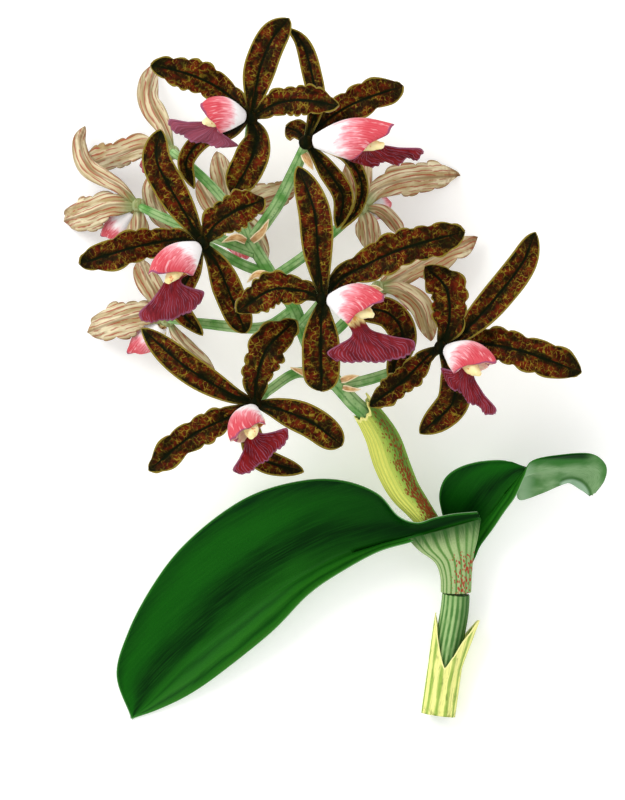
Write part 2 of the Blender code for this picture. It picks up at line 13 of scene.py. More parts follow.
import bpy
import numpy as np
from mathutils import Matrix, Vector


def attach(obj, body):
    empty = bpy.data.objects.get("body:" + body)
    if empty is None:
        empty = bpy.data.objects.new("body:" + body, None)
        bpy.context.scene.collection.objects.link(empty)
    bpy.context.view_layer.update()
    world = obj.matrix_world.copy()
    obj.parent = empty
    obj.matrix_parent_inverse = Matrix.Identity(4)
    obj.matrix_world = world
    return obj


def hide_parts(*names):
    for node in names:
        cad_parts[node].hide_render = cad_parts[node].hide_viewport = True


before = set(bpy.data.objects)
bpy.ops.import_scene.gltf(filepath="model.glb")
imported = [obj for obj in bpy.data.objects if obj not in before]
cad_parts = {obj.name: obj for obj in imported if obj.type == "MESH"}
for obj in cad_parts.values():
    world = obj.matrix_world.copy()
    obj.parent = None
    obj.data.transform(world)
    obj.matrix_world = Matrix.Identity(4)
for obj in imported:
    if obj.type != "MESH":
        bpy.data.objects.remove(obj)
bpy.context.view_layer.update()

# %% [markdown]
# ## The plan
#
# A flat plan is an easy way to place a plant that lies down: x and y are steps of 0.42 mm on the
# plan, and z is the height over the table in millimetres. Every curve goes smoothly through a few
# such points, which keeps the script short and lets each piece be as fine as it needs.

# %% Points on the plan
STEP = 0.00042
PLAN_CENTRE = (335.0, 369.0)
MM = 0.001


def at(x, y, z):
    return np.array(((x - PLAN_CENTRE[0]) * STEP, (PLAN_CENTRE[1] - y) * STEP, z * MM))


def on_plan(points):
    return [at(*p) for p in points]


def unit(v):
    return v / np.maximum(np.linalg.norm(v, axis=-1, keepdims=True), 1e-12)


print("a step is", STEP * 1000, "mm")

# %% A smooth line through points


def smooth_line(points, count):
    """Even steps along a smooth curve through the points, and the distance run at each."""
    p = np.array([2 * points[0] - points[1], *points, 2 * points[-1] - points[-2]], float)
    t = (np.arange(24) / 24)[:, None]
    fine = []
    for a, b, c, d in zip(p, p[1:], p[2:], p[3:]):
        fine.append(0.5 * (2 * b + (c - a) * t + (2 * a - 5 * b + 4 * c - d) * t ** 2
                           + (3 * b - a - 3 * c + d) * t ** 3))
    fine = np.concatenate(fine + [p[-2:-1]])
    run = np.concatenate([[0.0], np.cumsum(np.linalg.norm(np.diff(fine, axis=0), axis=1))])
    goal = np.linspace(0, run[-1], count)
    return np.stack([np.interp(goal, run, fine[:, k]) for k in range(3)], axis=1), goal


def soft_mix(values, s):
    """Reads a list of values spread evenly over 0 to 1, with a smooth curve through them."""
    line, _ = smooth_line([np.array((k / (len(values) - 1), v, 0.0)) for k, v in enumerate(values)], 200)
    return np.interp(s, line[:, 0], line[:, 1])


print("smooth line test:", smooth_line([at(0, 0, 0), at(10, 4, 0), at(20, 0, 0)], 3)[0].round(5).tolist())

# %% [markdown]
# ## Skins with two sides
#
# Petals, lips, leaves and sheaths are thin skins. A grid of points gives the middle of the skin, and
# the two faces lie half its thickness to each side, so the edge can be thinner than the middle.
# Each point also carries marks that the paint reads later: `flat` is the place on the skin in
# millimetres with a number for the blade, `place` is (across -1 to 1, along 0 to 1, which side),
# and `rim` is the distance to the edge in millimetres.

# %% Two faces and an edge from one grid


def skin(grid, thick, marks, ring=False, flip=False):
    rows, cols = grid.shape[:2]
    if ring:
        across = np.roll(grid, -1, axis=1) - np.roll(grid, 1, axis=1)
    else:
        across = np.gradient(grid, axis=1)
    normal = unit(np.cross(across, np.gradient(grid, axis=0)))
    if flip:
        normal = -normal
    half = np.broadcast_to(thick, (rows, cols))[..., None] / 2
    points = np.concatenate([(grid + normal * half).reshape(-1, 3),
                             (grid - normal * half).reshape(-1, 3)])
    index = np.arange(rows * cols).reshape(rows, cols)
    right = np.roll(index, -1, axis=1) if ring else index[:, 1:]
    left = index if ring else index[:, :-1]
    a, b, c, d = left[:-1], right[:-1], right[1:], left[1:]
    top = np.stack([a, b, c, d], axis=-1).reshape(-1, 4)
    low = top[:, ::-1] + rows * cols
    under = rows * cols
    rims = [(right[0], left[0]), (left[-1], right[-1])]
    if not ring:
        rims += [(index[:-1, 0], index[1:, 0]), (index[1:, -1], index[:-1, -1])]
    edge = [np.stack([p, q, q + under, p + under], axis=-1) for p, q in rims]
    faces = np.concatenate([top, low] + edge)
    if flip:
        faces = faces[:, ::-1]
    both = {}
    for name, values in marks.items():
        values = np.asarray(values, float)
        if name == "place":
            upper = np.concatenate([values, np.zeros((rows, cols, 1))], axis=-1)
            lower = np.concatenate([values, np.ones((rows, cols, 1))], axis=-1)
            both[name] = np.concatenate([upper.reshape(-1, 3), lower.reshape(-1, 3)])
        elif values.ndim == 3:
            both[name] = np.concatenate([values.reshape(-1, 3)] * 2)
        else:
            both[name] = np.concatenate([np.broadcast_to(values, (rows, cols)).reshape(-1)] * 2)
    return points, faces, both


print("marks: flat, place, rim, zone, rib")

# %% Steps over a grid, its frame and its marks


def steps(rows, cols):
    """s runs from 0 to 1 along the skin and v from -1 to 1 across it."""
    return np.linspace(0, 1, rows)[:, None], np.linspace(-1, 1, cols)[None, :]


def ring_steps(rows, count):
    """The same for a ring-shaped skin: s along it, and the angle round it from the low side."""
    turn = np.radians(-90) + 2 * np.pi * np.arange(count)[None, :] / count
    return np.linspace(0, 1, rows)[:, None], turn


def heading(line):
    return unit(np.gradient(line, axis=0))


def level_frame(along):
    """The directions level across a line and upwards from it."""
    across = unit(np.cross(along, np.array((0, 0, 1.0))))
    return across, np.cross(across, along)


def spread(x, vectors):
    return vectors * x[..., None]


def grid_marks(x, y, number, v, s, rim, **more):
    """x and y are millimetres on the skin, number tells blades apart, v and s are the steps."""
    flat = np.stack(np.broadcast_arrays(x, y, float(number)), axis=-1)
    return {"flat": flat, "place": np.stack(np.broadcast_arrays(v, s), axis=-1), "rim": rim, **more}


print("angles round a ring of four:", np.degrees(ring_steps(2, 4)[1]).round().tolist())

# %% [markdown]
# ## One piece for each node
#
# A bloom is several skins in one piece, so their points are laid end to end in one mesh. Every piece
# rides on the root body, hides the solid that it stands for, and gets its material.

# %% Skins into a finished piece
MARKS = {"flat": 3, "place": 3, "rim": 0, "zone": 0, "rib": 0}


def make_mesh(name, skins):
    mesh = bpy.data.meshes.new(name)
    shift, faces = 0, []
    for points, quads, marks in skins:
        faces += (quads + shift).tolist()
        shift += len(points)
    mesh.from_pydata(np.concatenate([s[0] for s in skins]).tolist(), [], faces)
    for mark, size in MARKS.items():
        kind = "FLOAT_VECTOR" if size else "FLOAT"
        data = mesh.attributes.new(mark, kind, "POINT").data
        parts = []
        for points, quads, marks in skins:
            empty = np.zeros((len(points), 3) if size else len(points))
            parts.append(marks.get(mark, empty))
        data.foreach_set("vector" if size else "value", np.concatenate(parts).astype(np.float32).ravel())
    mesh.shade_smooth()
    return mesh


def finish_piece(thing, node, material):
    bpy.context.scene.collection.objects.link(thing)
    thing.data.materials.clear()
    thing.data.materials.append(material)
    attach(thing, "root")
    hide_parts(node)
    return thing


def dress(node, skins, material):
    mesh = make_mesh(node + "_skin", skins)
    return finish_piece(bpy.data.objects.new(node + "_skin", mesh), node, material)


print("five marks on every point")

# %% [markdown]
# ## Paint
#
# Living skin is never one colour. The paints below are node trees that read the marks. Small helpers
# keep them short: each adds its nodes to the tree in hand, the one that `tree` stands for, and hands
# back an output.

# %% Helpers for node trees


def paint(code):
    """A colour as written on a colour card, in the numbers that the shader wants."""
    parts = [int(code[k:k + 2], 16) / 255 for k in (1, 3, 5)]
    return tuple(((v + 0.055) / 1.055) ** 2.4 if v > 0.04045 else v / 12.92 for v in parts) + (1.0,)


def feed(socket, value):
    if isinstance(value, bpy.types.NodeSocket):
        socket.id_data.links.new(value, socket)
    else:
        socket.default_value = value


def add(kind, *first, **more):
    """Adds a node and feeds its first inputs. More names either a setting of it or an input."""
    node = tree.nodes.new(kind)
    for name, value in more.items():
        if hasattr(node, name):
            setattr(node, name, value)
        else:
            feed(node.inputs[name.replace("_", " ")], value)
    for socket, value in zip(node.inputs, first):
        feed(socket, value)
    return node


def calc(how, *values):
    return add("ShaderNodeMath", *values, operation=how).outputs[0]


def times(*parts):
    total = parts[0]
    for part in parts[1:]:
        total = calc("MULTIPLY", total, part)
    return total


def plus(a, b):
    return calc("ADD", a, b)


def scaled(value, factor, shift):
    return calc("MULTIPLY_ADD", value, factor, shift)


def step_up(value, low, high):
    """0 under low, 1 over high and a soft rise between."""
    node = add("ShaderNodeMapRange", value, low, high, interpolation_type="SMOOTHSTEP")
    return node.outputs["Result"]


def fade(value, low, high):
    """1 under low, 0 over high and a soft fall between."""
    return calc("SUBTRACT", 1.0, step_up(value, low, high))


def blend(share, a, b, how="MIX"):
    node = add("ShaderNodeMix", share, data_type="RGBA", blend_type=how)
    feed(node.inputs[6], a)
    feed(node.inputs[7], b)
    return node.outputs[2]


def tint(colour, code, mask, strength=1.0):
    """Lays the colour of the code over another one where the mask is, as strong as asked."""
    share = mask if strength == 1.0 else times(mask, strength)
    return blend(share, colour, paint(code))


def pick(mark_value, a, b):
    """The first where a mark is 0, the second where it is 1."""
    return blend(step_up(mark_value, 0.4, 0.6), a, b)


def two_tone(code, other, value, low, high):
    """From one colour to another as the value rises from low to high."""
    return blend(step_up(value, low, high), paint(code), paint(other))


print("helpers: paint, feed, add, calc, times, plus, scaled, step_up, fade, blend, tint, pick, two_tone")

# %% Helpers that read marks and noise


def mark(name, output="Fac"):
    return add("ShaderNodeAttribute", attribute_name=name).outputs[output]


def object_place():
    return add("ShaderNodeTexCoord").outputs["Object"]


def split(vector):
    return add("ShaderNodeSeparateXYZ", vector).outputs


def stretch(vector, sizes):
    return add("ShaderNodeVectorMath", vector, sizes, operation="MULTIPLY").outputs[0]


def noise(vector, scale, detail=2.0, rough=0.5):
    return add("ShaderNodeTexNoise", vector, Scale=scale, Detail=detail, Roughness=rough).outputs["Fac"]


def cells(vector, scale, feature="DISTANCE_TO_EDGE"):
    node = add("ShaderNodeTexVoronoi", vector, feature=feature, Scale=scale)
    return node.outputs["Distance"]


def streaks(vector, sizes, scale=1.0, detail=2.0, rough=0.5):
    """Noise that is drawn out long in the directions with small sizes."""
    return noise(stretch(vector, sizes), scale, detail, rough)


def skin_marks():
    """flat, rim, across, along and side, as every thin skin carries them."""
    across, along, side = split(mark("place", "Vector"))
    return mark("flat", "Vector"), mark("rim"), across, along, side


print("helpers: mark, object_place, split, stretch, noise, cells, streaks, skin_marks")

# %% [markdown]
# Four effects show up on more than one skin, so each is a node group: a soft mottle, broken veins
# that run the length of a blade, a band along the edge, and speckles that thin out. A group only
# gives masks; the shader itself stays in each material.

# %% A frame for the effect groups


def new_group(name, output, **inputs):
    """Starts the tree of a group; None stands for a place as input, a number for a number."""
    global tree
    tree = bpy.data.node_groups.new(name, "ShaderNodeTree")
    for label, value in inputs.items():
        kind = "NodeSocketVector" if value is None else "NodeSocketFloat"
        socket = tree.interface.new_socket(label, in_out="INPUT", socket_type=kind)
        if value is not None:
            socket.default_value = value
    tree.interface.new_socket(output, in_out="OUTPUT", socket_type="NodeSocketFloat")
    return tree, add("NodeGroupInput").outputs, add("NodeGroupOutput").inputs[0]


def use_group(group, **values):
    node = add("ShaderNodeGroup", node_tree=group)
    for label, value in values.items():
        feed(node.inputs[label], value)
    return node.outputs[0]


print("groups give one mask each")

# %% The soft mottle and the long veins
soft_mottle, given, out = new_group("soft_mottle", "Shade", Place=None, Scale=0.4, Depth=0.3)
coarse = noise(given["Place"], given["Scale"], 3.0, 0.6)
swing = times(calc("SUBTRACT", coarse, 0.5), given["Depth"])
feed(out, scaled(swing, 2.0, 1.0))

long_veins, given, out = new_group(
    "long_veins", "Vein", Place=None, Spacing=2.0, Width=0.3, Break=0.5)
shift = streaks(given["Place"], (0.25, 0.09, 1.0))
x = plus(split(given["Place"])[0], times(shift, 2.4))
wave = calc("PINGPONG", calc("DIVIDE", x, given["Spacing"]), 0.5)
line = fade(wave, 0.0, given["Width"])
gaps = streaks(given["Place"], (0.9, 0.16, 1.0))
kept = step_up(gaps, given["Break"], plus(given["Break"], 0.12))
feed(out, times(line, kept))
print("groups:", soft_mottle.name, long_veins.name)

# %% The edge band and the speckles
edge_band, given, out = new_group("edge_band", "Band", Rim=1.0, Width=0.6, Place=None)
wobble = noise(given["Place"], 0.9, 2.0)
width = times(given["Width"], plus(wobble, 0.5))
feed(out, fade(given["Rim"], times(width, 0.75), times(width, 1.3)))

speckles, given, out = new_group("speckles", "Dot", Place=None, Scale=0.8, Amount=0.5)
size = cells(given["Place"], given["Scale"], "F1")
limit = times(given["Amount"], 0.55)
feed(out, fade(size, times(limit, 0.8), plus(limit, 0.04)))


def edge_of(flat, rim, width):
    return use_group(edge_band, Rim=rim, Width=width, Place=flat)


print("groups:", edge_band.name, speckles.name)

# %% A material with its shader


def new_material(name, rough, shine=0.12):
    """Starts the tree of a material; the material and its shader come back."""
    global tree
    material = bpy.data.materials.new(name)
    material.use_nodes = True
    tree = material.node_tree
    shader = tree.nodes["Principled BSDF"]
    shader.inputs["Roughness"].default_value = rough
    shader.inputs["Specular IOR Level"].default_value = shine
    return material, shader


def coat(shader, colour, height, strength, distance):
    """Feeds the colour and a relief to the shader."""
    bump = add("ShaderNodeBump", Strength=strength, Distance=distance, Height=height)
    feed(shader.inputs["Base Color"], colour)
    feed(shader.inputs["Normal"], bump.outputs[0])


print("materials share one shader set-up")

# %% [markdown]
# ## The skin of sepals and petals
#
# Seen from the front each blade is maroon brown, broken into blotches by a net of olive gold. The
# midline is a nearly black line, and painted shade turns the base, the tip, a band beside the
# midline, folds near the edge and broad patches nearly black. The edge is a thin gold line. Cells
# give the blotches: the distance to a cell's edge is small along the net. The back is buff with
# broken red veins, so the third part of `place` picks the side.

# %% The front: blotches on a net
tepal_skin, shader = new_material("tepal_skin", 0.5, shine=0.03)
flat, rim, across, along, side = skin_marks()
from_mid = calc("ABSOLUTE", split(flat)[0])
bend = add("ShaderNodeTexNoise", flat, Scale=0.55).outputs["Color"]
bent = add("ShaderNodeVectorMath", bend, (2.2, 2.2, 0.0), flat, operation="MULTIPLY_ADD").outputs[0]
net = cells(stretch(bent, (0.75, 1.1, 7.0)), 0.50)
fine_net = cells(stretch(bent, (0.7, 1.2, 5.0)), 0.95)
shade = use_group(soft_mottle, Place=flat, Scale=0.35, Depth=0.55)
blotch = two_tone("#340a03", "#5c1c08", noise(flat, 0.35, 2.0), 0.3, 0.7)
gold = two_tone("#54420a", "#8e7a24", noise(flat, 0.4, 2.0), 0.3, 0.7)
on_net = fade(net, 0.01, 0.095)
thin = fade(fine_net, 0.01, 0.07)
hide = step_up(noise(flat, 0.25, 2.0), 0.42, 0.60)
broken = step_up(noise(flat, 0.55, 2.0), 0.38, 0.52)
on_net = times(on_net, broken)
on_net = calc("MAXIMUM", on_net, times(thin, hide, 0.5))
front = blend(on_net, blotch, gold)
print("net and blotches")

# %% The front: midline, base, tip and edge
dark = paint("#0a1002")
end = fade(along, 0.8, 0.98)
wide = scaled(end, 0.38, 0.1)
midline = fade(from_mid, times(wide, 0.6), times(wide, 2.1))
# Painted shade: a streaky band beside the midline, over the channel.
near_mid = fade(from_mid, 0.4, 3.2)
shade_streaks = step_up(streaks(flat, (0.9, 0.2, 1.0), scale=0.8, detail=3.0), 0.4, 0.62)
shade_beside_midline = times(near_mid, shade_streaks, 0.9)
# Painted shade at the base, where the blades meet the hub, and at the tip.
base = times(fade(plus(along, times(shade_streaks, -0.14)), 0.0, 0.2), 0.9)
tip = times(step_up(along, 0.8, 0.97), 0.8)
# Painted shade in folds near the edge.
folds = times(step_up(streaks(flat, (0.35, 0.45, 1.0), scale=0.7, detail=1.0), 0.6, 0.7),
              fade(rim, 0.8, 3.0))
# Painted shadow in broad streaky patches.
shadow = times(step_up(streaks(flat, (0.25, 0.15, 1.0)), 0.47, 0.64), 0.8)
for mask in (calc("MAXIMUM", shade_beside_midline, folds), shadow, calc("MAXIMUM", base, tip), midline):
    front = blend(mask, front, dark)
front = blend(1.0, front, shade, "MULTIPLY")
margin = edge_of(flat, rim, 0.6)
margin = times(margin, step_up(along, 0.02, 0.22))
front = tint(front, "#83742a", margin)
print("front of the blade")

# %% The back: buff with red veins
streak = streaks(flat, (1.3, 0.07, 1.0), detail=3.0, rough=0.6)
broad = streaks(flat, (0.45, 0.05, 1.0))
back = two_tone("#ab9468", "#ded2ae", broad, 0.34, 0.64)
back = tint(back, "#85714a", step_up(streak, 0.5, 0.66), 0.55)
veins = use_group(long_veins, Place=flat, Spacing=1.9, Width=0.25, Break=0.37)
back = tint(back, "#9c342a", veins, 0.85)
ends = times(step_up(along, 0.72, 1.0), step_up(noise(flat, 0.5, 2.0), 0.4, 0.62))
back = tint(back, "#7a3e2a", ends, 0.55)
keel = fade(from_mid, 0.2, 0.6)
back = tint(back, "#7a5f42", keel, 0.6)
brown = edge_of(flat, rim, 0.6)
back = tint(back, "#7c5a34", brown, 0.4)
green = fade(along, 0.02, 0.16)
back = tint(back, "#6f9454", green, 0.6)
grain = plus(times(net, 1.4), streaks(flat, (2.2, 0.4, 1.0), detail=3.0))
coat(shader, pick(side, front, back), grain, 0.35, 0.0006)
rough = scaled(noise(flat, 0.6, 2.0), 0.25, 0.34)
feed(shader.inputs["Roughness"], rough)
print("material:", tepal_skin.name)

# %% [markdown]
# ## Sepals and petals
#
# A blade grows from the hub along a curve. Its width follows one outline for all, widest in the
# middle and round at the tip. Sepals are smooth, while petals are waved, with a nicked and frilled
# edge. A shallow channel runs down the middle, as a keel on the back.

# %% The blade
HUB_RADIUS = 3.2
GAP = 0.3
SEPAL_WAVE = 0.5
PETAL_WAVE = 1.5
CHANNEL_DEEP = 0.32
BLADE_STEPS = (56, 21)
SEED = 11


def tepal_outline(s, blunt):
    low = 0.27 + 0.73 * np.sin(np.pi * s)
    high = np.maximum((1 - (np.maximum(s - 0.5, 0) / 0.5) ** blunt), 0) ** 0.65
    return np.maximum(np.where(s < 0.5, low, high), 0.02)


def frill(s, v, draw):
    """Nicks and small folds of a petal's edge: how far it draws in, and how far it lifts, in mm."""
    lobes = draw.uniform(17, 24)
    a, b = draw.uniform(0, 3.1), draw.uniform(0, 3.1)
    turn = s * lobes + np.where(v > 0, a, b) + 0.9 * np.sin(s * 9 + a)
    calm = np.clip(s / 0.25, 0, 1) * np.clip((1 - s) / 0.06, 0, 1)
    nick = (1 - np.abs(np.sin(turn)) ** 0.7) * calm
    return 0.21 * nick * np.abs(v) ** 4, (0.9 * np.sin(2 * turn) - 0.6 * nick) * calm * np.abs(v) ** 4


print("blade outline at three quarters:", float(tepal_outline(np.array(0.75), 3.0)))

# %% The blade's grid


def tepal_skin_of(hub, face, points, wide, blunt, petal, draw, extra):
    line, run = smooth_line([hub + unit(points[0] - hub) * 1.8 * MM] + points, BLADE_STEPS[0])
    phase = draw.uniform(0, 6.28)
    s, v = steps(*BLADE_STEPS)
    along = heading(line)
    up = unit(face - along * (along @ face)[:, None])
    sideways = np.cross(along, up)
    half = wide / 2 * STEP * tepal_outline(s, blunt)
    beat = np.sin(14.0 * s + phase + np.where(v > 0, 2.1, 0.0))
    reach = v * half * (1 + (0.10 * beat if petal else 0.0))
    wave = PETAL_WAVE if petal else SEPAL_WAVE
    lift = 0.20 * half * v ** 2 + wave * MM * beat * v ** 2 * np.minimum(1, 3 * s)
    if petal:
        pull, rise = frill(s, v, extra)
        reach = reach * (1 - pull)
        lift = lift + rise * MM
    lift = lift - CHANNEL_DEEP * MM * np.exp(-(reach / (0.9 * MM)) ** 2) * np.clip((1 - s) * 8, 0, 1)
    grid = line[:, None] + spread(reach, sideways[:, None]) + spread(lift, up[:, None])
    rim = (1 - np.abs(v)) * half / MM
    marks = grid_marks(reach / MM, run[:, None] / MM, extra.uniform(0, 90), v, s, rim)
    return skin(grid, (0.75 - 0.40 * np.abs(v) ** 2.5) * MM, marks)


print("a blade has", BLADE_STEPS[0] * BLADE_STEPS[1] * 2, "points")

# %% A closed round body from rings


def round_skin(grid, marks):
    """Rings of points, closed at both ends with strips across the first and the last ring."""
    rows, count = grid.shape[:2]
    index = np.arange(rows * count).reshape(rows, count)
    right = np.roll(index, -1, axis=1)
    body = np.stack([index[1:], right[1:], right[:-1], index[:-1]], axis=-1).reshape(-1, 4)
    k = np.arange(count // 2 - 1)
    strip = np.stack([k, k + 1, count - 2 - k, count - 1 - k], axis=-1)
    faces = np.concatenate([body, strip, strip[:, ::-1] + (rows - 1) * count])
    flat_marks = {}
    for name, values in marks.items():
        size = 3 if MARKS[name] else 1
        full = np.broadcast_to(values, (rows, count, 3) if size == 3 else (rows, count))
        flat_marks[name] = full.reshape((-1, 3) if size == 3 else -1)
    return grid.reshape(-1, 3), faces, flat_marks


print("ring bodies have", "no open ends")

# %% The hub: the swollen end of the ovary
HUB_FLATTER = 0.5


def hub_skin(centre, radius, face, outside):
    down = np.linspace(0.03, np.pi - 0.03, 16)[:, None]
    turn = np.linspace(0, 2 * np.pi, 24, endpoint=False)[None, :]
    way = np.stack([np.sin(down) * np.cos(turn), np.sin(down) * np.sin(turn), np.cos(down) + 0 * turn],
                   axis=-1)
    # An along of 0.02 gives the hub the colour of the blades' base, so in front blooms the painted shade
    # of the base darkens it.
    marks = {"flat": way * 3, "place": np.array((0.0, 0.02, 1.0 if outside else 0.0)),
             "rim": np.array(9.0)}
    ahead = np.maximum(way @ face, 0.0)[..., None]
    return round_skin(centre + (way - face * ahead * HUB_FLATTER) * radius, marks)


print("hub radius", HUB_RADIUS, "mm")

# %% [markdown]
# ## Where the blooms are
#
# Six blooms face the viewer and six are turned away. Each has the plan points of its sepals and
# petals, root to tip, each with the blade's width, how blunt it ends and whether it is a petal. The
# frame of the lip follows: `a` is the way that the rolled part points and `u` the side where it is
# closed.

# %% The six blooms in front
FRONT_BLOOMS = [
    dict(hub=(251, 117, 66), face=(-0.1, 0.1, 1), out=False, tepals=[
        ([(260, 70, 69), (272, 40, 69), (289, 18, 64)], 33, 3.0, False),
        ([(276, 104, 70), (303, 100, 74), (339, 106, 76)], 32, 2.4, True),
        ([(226, 92, 61), (193, 75, 62), (151, 64, 62)], 34, 3.4, True),
        ([(257, 138, 66), (250, 162, 65), (232, 193, 61)], 35, 3.4, False),
        ([(232, 130, 57), (204, 137, 50), (186, 160, 46), (194, 187, 44)], 20, 2.4, False),
    ], lip=dict(a=(-0.85, 0.10, 0.52), u=(0, 0.6, 0.8), long=26, big=7.4,
                neck=(222, 121, 67.5), low=(194, 139, 62), side=(0.92, -0.36, 0), fan=15.5)),
    dict(hub=(306, 142, 70), face=(0.1, 0.1, 1), out=False, tepals=[
        ([(316, 104, 66), (311, 70, 62), (302, 42, 59), (288, 27, 57)], 20, 2.4, False),
        ([(317, 128, 64), (339, 111, 66), (366, 98, 69), (403, 86, 67)], 34, 5.0, True),
        ([(299, 132, 65), (286, 126, 61)], 24, 2.4, False),
        ([(326, 168, 64), (343, 196, 60), (337, 227, 56)], 22, 2.4, False),
        ([(345, 155, 58), (361, 180, 51), (358, 206, 48), (341, 228, 47)], 14, 2.4, False),
    ], lip=dict(a=(0.935, 0.085, 0.34), u=(-0.1, 0.8, 0.6), long=40, big=8.5,
                neck=(366, 147, 73), low=(396, 161, 60), side=(0.98, 0.16, 0), fan=15.5)),
    dict(hub=(203, 242, 70), face=(-0.1, 0, 1), out=False, tepals=[
        ([(189, 218, 71), (170, 186, 71), (157, 158, 70), (161, 129, 66)], 32, 2.8, False),
        ([(216, 224, 72), (237, 210, 74), (265, 199, 71)], 39, 2.4, True),
        ([(172, 239, 63), (132, 247, 66), (80, 263, 64)], 34, 4.6, True),
        ([(219, 266, 69), (233, 300, 66), (246, 332, 60)], 30, 4.0, False),
        ([(193, 268, 58), (179, 303, 52), (203, 334, 50)], 22, 2.4, False),
    ], lip=dict(a=(-0.62, -0.48, 0.62), u=(-0.35, 0.8, 0.45), long=33, big=8.2,
                neck=(173, 281, 76), low=(172, 317, 71), side=(0.94, 0.3, 0), fan=14.5)),
    dict(hub=(323, 298, 78), face=(0, 0, 1), out=False, tepals=[
        ([(318, 255, 80), (314, 210, 80), (298, 166, 74)], 33, 2.4, False),
        ([(346, 275, 74), (400, 249, 80), (464, 231, 77)], 38, 5.0, True),
        ([(303, 290, 78), (272, 289, 79), (237, 311, 75)], 36, 2.4, True),
        ([(321, 325, 77), (321, 358, 76), (322, 390, 70)], 38, 4.6, False),
        ([(350, 306, 68), (388, 312, 60), (403, 338, 54), (389, 377, 48)], 30, 2.4, False),
    ], lip=dict(a=(0.80, -0.107, 0.58), u=(0, 0.85, 0.5), long=32, big=8.6,
                neck=(356, 322, 83), low=(378, 360, 79), side=(0.99, 0.14, 0), fan=18.5)),
    dict(hub=(441, 346, 62), face=(0.1, 0, 1), out=False, tepals=[
        ([(464, 330, 63), (494, 298, 65), (521, 263, 63), (535, 231, 58)], 31, 3.2, False),
        ([(449, 318, 65), (446, 288, 66), (425, 265, 62)], 40, 2.4, True),
        ([(478, 342, 55), (522, 350, 60), (581, 371, 57)], 37, 4.6, True),
        ([(428, 354, 61), (402, 380, 60), (369, 405, 55)], 29, 2.4, True),
        ([(452, 370, 56), (452, 402, 50), (420, 432, 44)], 33, 2.4, False),
    ], lip=dict(a=(0.72, -0.32, 0.69), u=(0.35, 0.85, 0.4), long=31, big=8.2,
                neck=(464, 366, 70), low=(469, 400, 63), side=(0.80, -0.58, 0), fan=14.5)),
    dict(hub=(255, 402, 62), face=(0, 0, 1), out=False, tepals=[
        ([(226, 390, 64), (183, 363, 65), (142, 327, 58)], 29, 2.4, False),
        ([(257, 378, 65), (268, 346, 66), (296, 319, 61)], 40, 2.4, True),
        ([(280, 408, 63), (312, 421, 63), (342, 444, 57)], 32, 4.4, False),
        ([(230, 415, 60), (192, 434, 62), (149, 469, 58)], 32, 3.6, True),
        ([(250, 425, 54), (262, 457, 49), (304, 470, 47)], 25, 2.4, False),
    ], lip=dict(a=(-0.25, -0.62, 0.74), u=(-0.75, 0.35, 0.4), long=26, big=7.6,
                neck=(252, 435, 71), low=(267, 458, 67), side=(0.79, 0.61, 0), fan=14.5)),
]
print(len(FRONT_BLOOMS), "blooms in front")

# %% The six blooms behind
BACK_BLOOMS = [
    dict(hub=(172, 150, 30), face=(-0.3, 0.1, -1), out=True, tepals=[
        ([(163, 125, 29), (148, 92, 20), (155, 60, 1)], 25, 2.4, False),
        ([(144, 144, 30), (112, 153, 22), (79, 163, 6)], 30, 2.4, True),
        ([(164, 168, 31), (152, 186, 29), (158, 212, 21), (174, 226, 13)], 21, 2.4, False),
    ], lip=dict(a=(-0.62, -0.32, -0.75), u=(0.1, 0.3, 0.8), long=21, big=5.2, drop=6, fan=6)),
    dict(hub=(138, 203, 30), face=(-0.3, -0.1, -1), out=True, tepals=[
        ([(118, 184, 31), (88, 165, 24), (78, 140, 14), (83, 123, 9)], 20, 2.4, False),
        ([(110, 203, 31), (86, 211, 22), (62, 218, 1)], 36, 2.4, True),
        ([(138, 226, 29), (132, 252, 20)], 24, 2.4, False),
    ], lip=dict(a=(-0.60, -0.51, -0.76), u=(0.1, 0.3, 0.8), long=27, big=5.2, drop=8, fan=7)),
    dict(hub=(167, 318, 30), face=(-0.1, -0.1, -1), out=True, tepals=[
        ([(148, 312, 30), (120, 318, 24), (86, 330, 8)], 38, 2.4, True),
        ([(157, 295, 29), (146, 276, 24), (138, 257, 14)], 25, 2.4, False),
        ([(178, 336, 29), (193, 353, 25), (214, 369, 16)], 18, 2.4, False),
    ], lip=dict(a=(-0.60, -0.50, -0.64), u=(0.1, 0.3, 0.8), long=27, big=5.2, drop=8, fan=7)),
    dict(hub=(361, 205, 32), face=(0.2, 0.1, -1), out=True, tepals=[
        ([(378, 187, 32), (412, 176, 24), (459, 172, 1)], 34, 2.4, True),
        ([(363, 183, 32), (362, 148, 20)], 20, 2.4, False),
        ([(352, 186, 29), (346, 162, 20)], 15, 2.4, False),
        ([(367, 222, 31), (369, 247, 23)], 26, 2.4, False),
        ([(380, 208, 31), (393, 219, 26), (403, 235, 18)], 16, 2.4, False),
    ], lip=dict(a=(0.5, 0.05, -0.86), u=(0.6, 0, 0.7), long=23, big=5.4, drop=6, fan=7)),
    dict(hub=(378, 286, 28), face=(0.2, -0.1, -1), out=True, tepals=[
        ([(400, 288, 31), (421, 305, 29), (432, 339, 17)], 24, 2.4, False),
        ([(404, 272, 27), (440, 252, 20), (478, 236, 8)], 34, 2.4, True),
        ([(391, 273, 26), (407, 260, 18)], 17, 2.4, False),
    ], lip=dict(a=(0.74, -0.2, -0.78), u=(0, 0.4, 0.8), long=27, big=5.4, drop=8, fan=7)),
    dict(hub=(232, 215, 28), face=(0, 0.1, -1), out=True, tepals=[
        ([(226, 190, 28), (216, 149, 22)], 25, 2.4, False),
        ([(213, 205, 27), (197, 178, 20)], 20, 2.4, False),
        ([(258, 200, 27), (295, 186, 18)], 32, 2.4, True),
        ([(252, 223, 29), (267, 258, 28)], 16, 2.4, False),
    ], lip=dict(a=(0.25, -0.75, -0.6), u=(0, 0.4, 0.8), long=22, big=5.6, drop=7, fan=7)),
]
print(len(BACK_BLOOMS), "blooms behind")

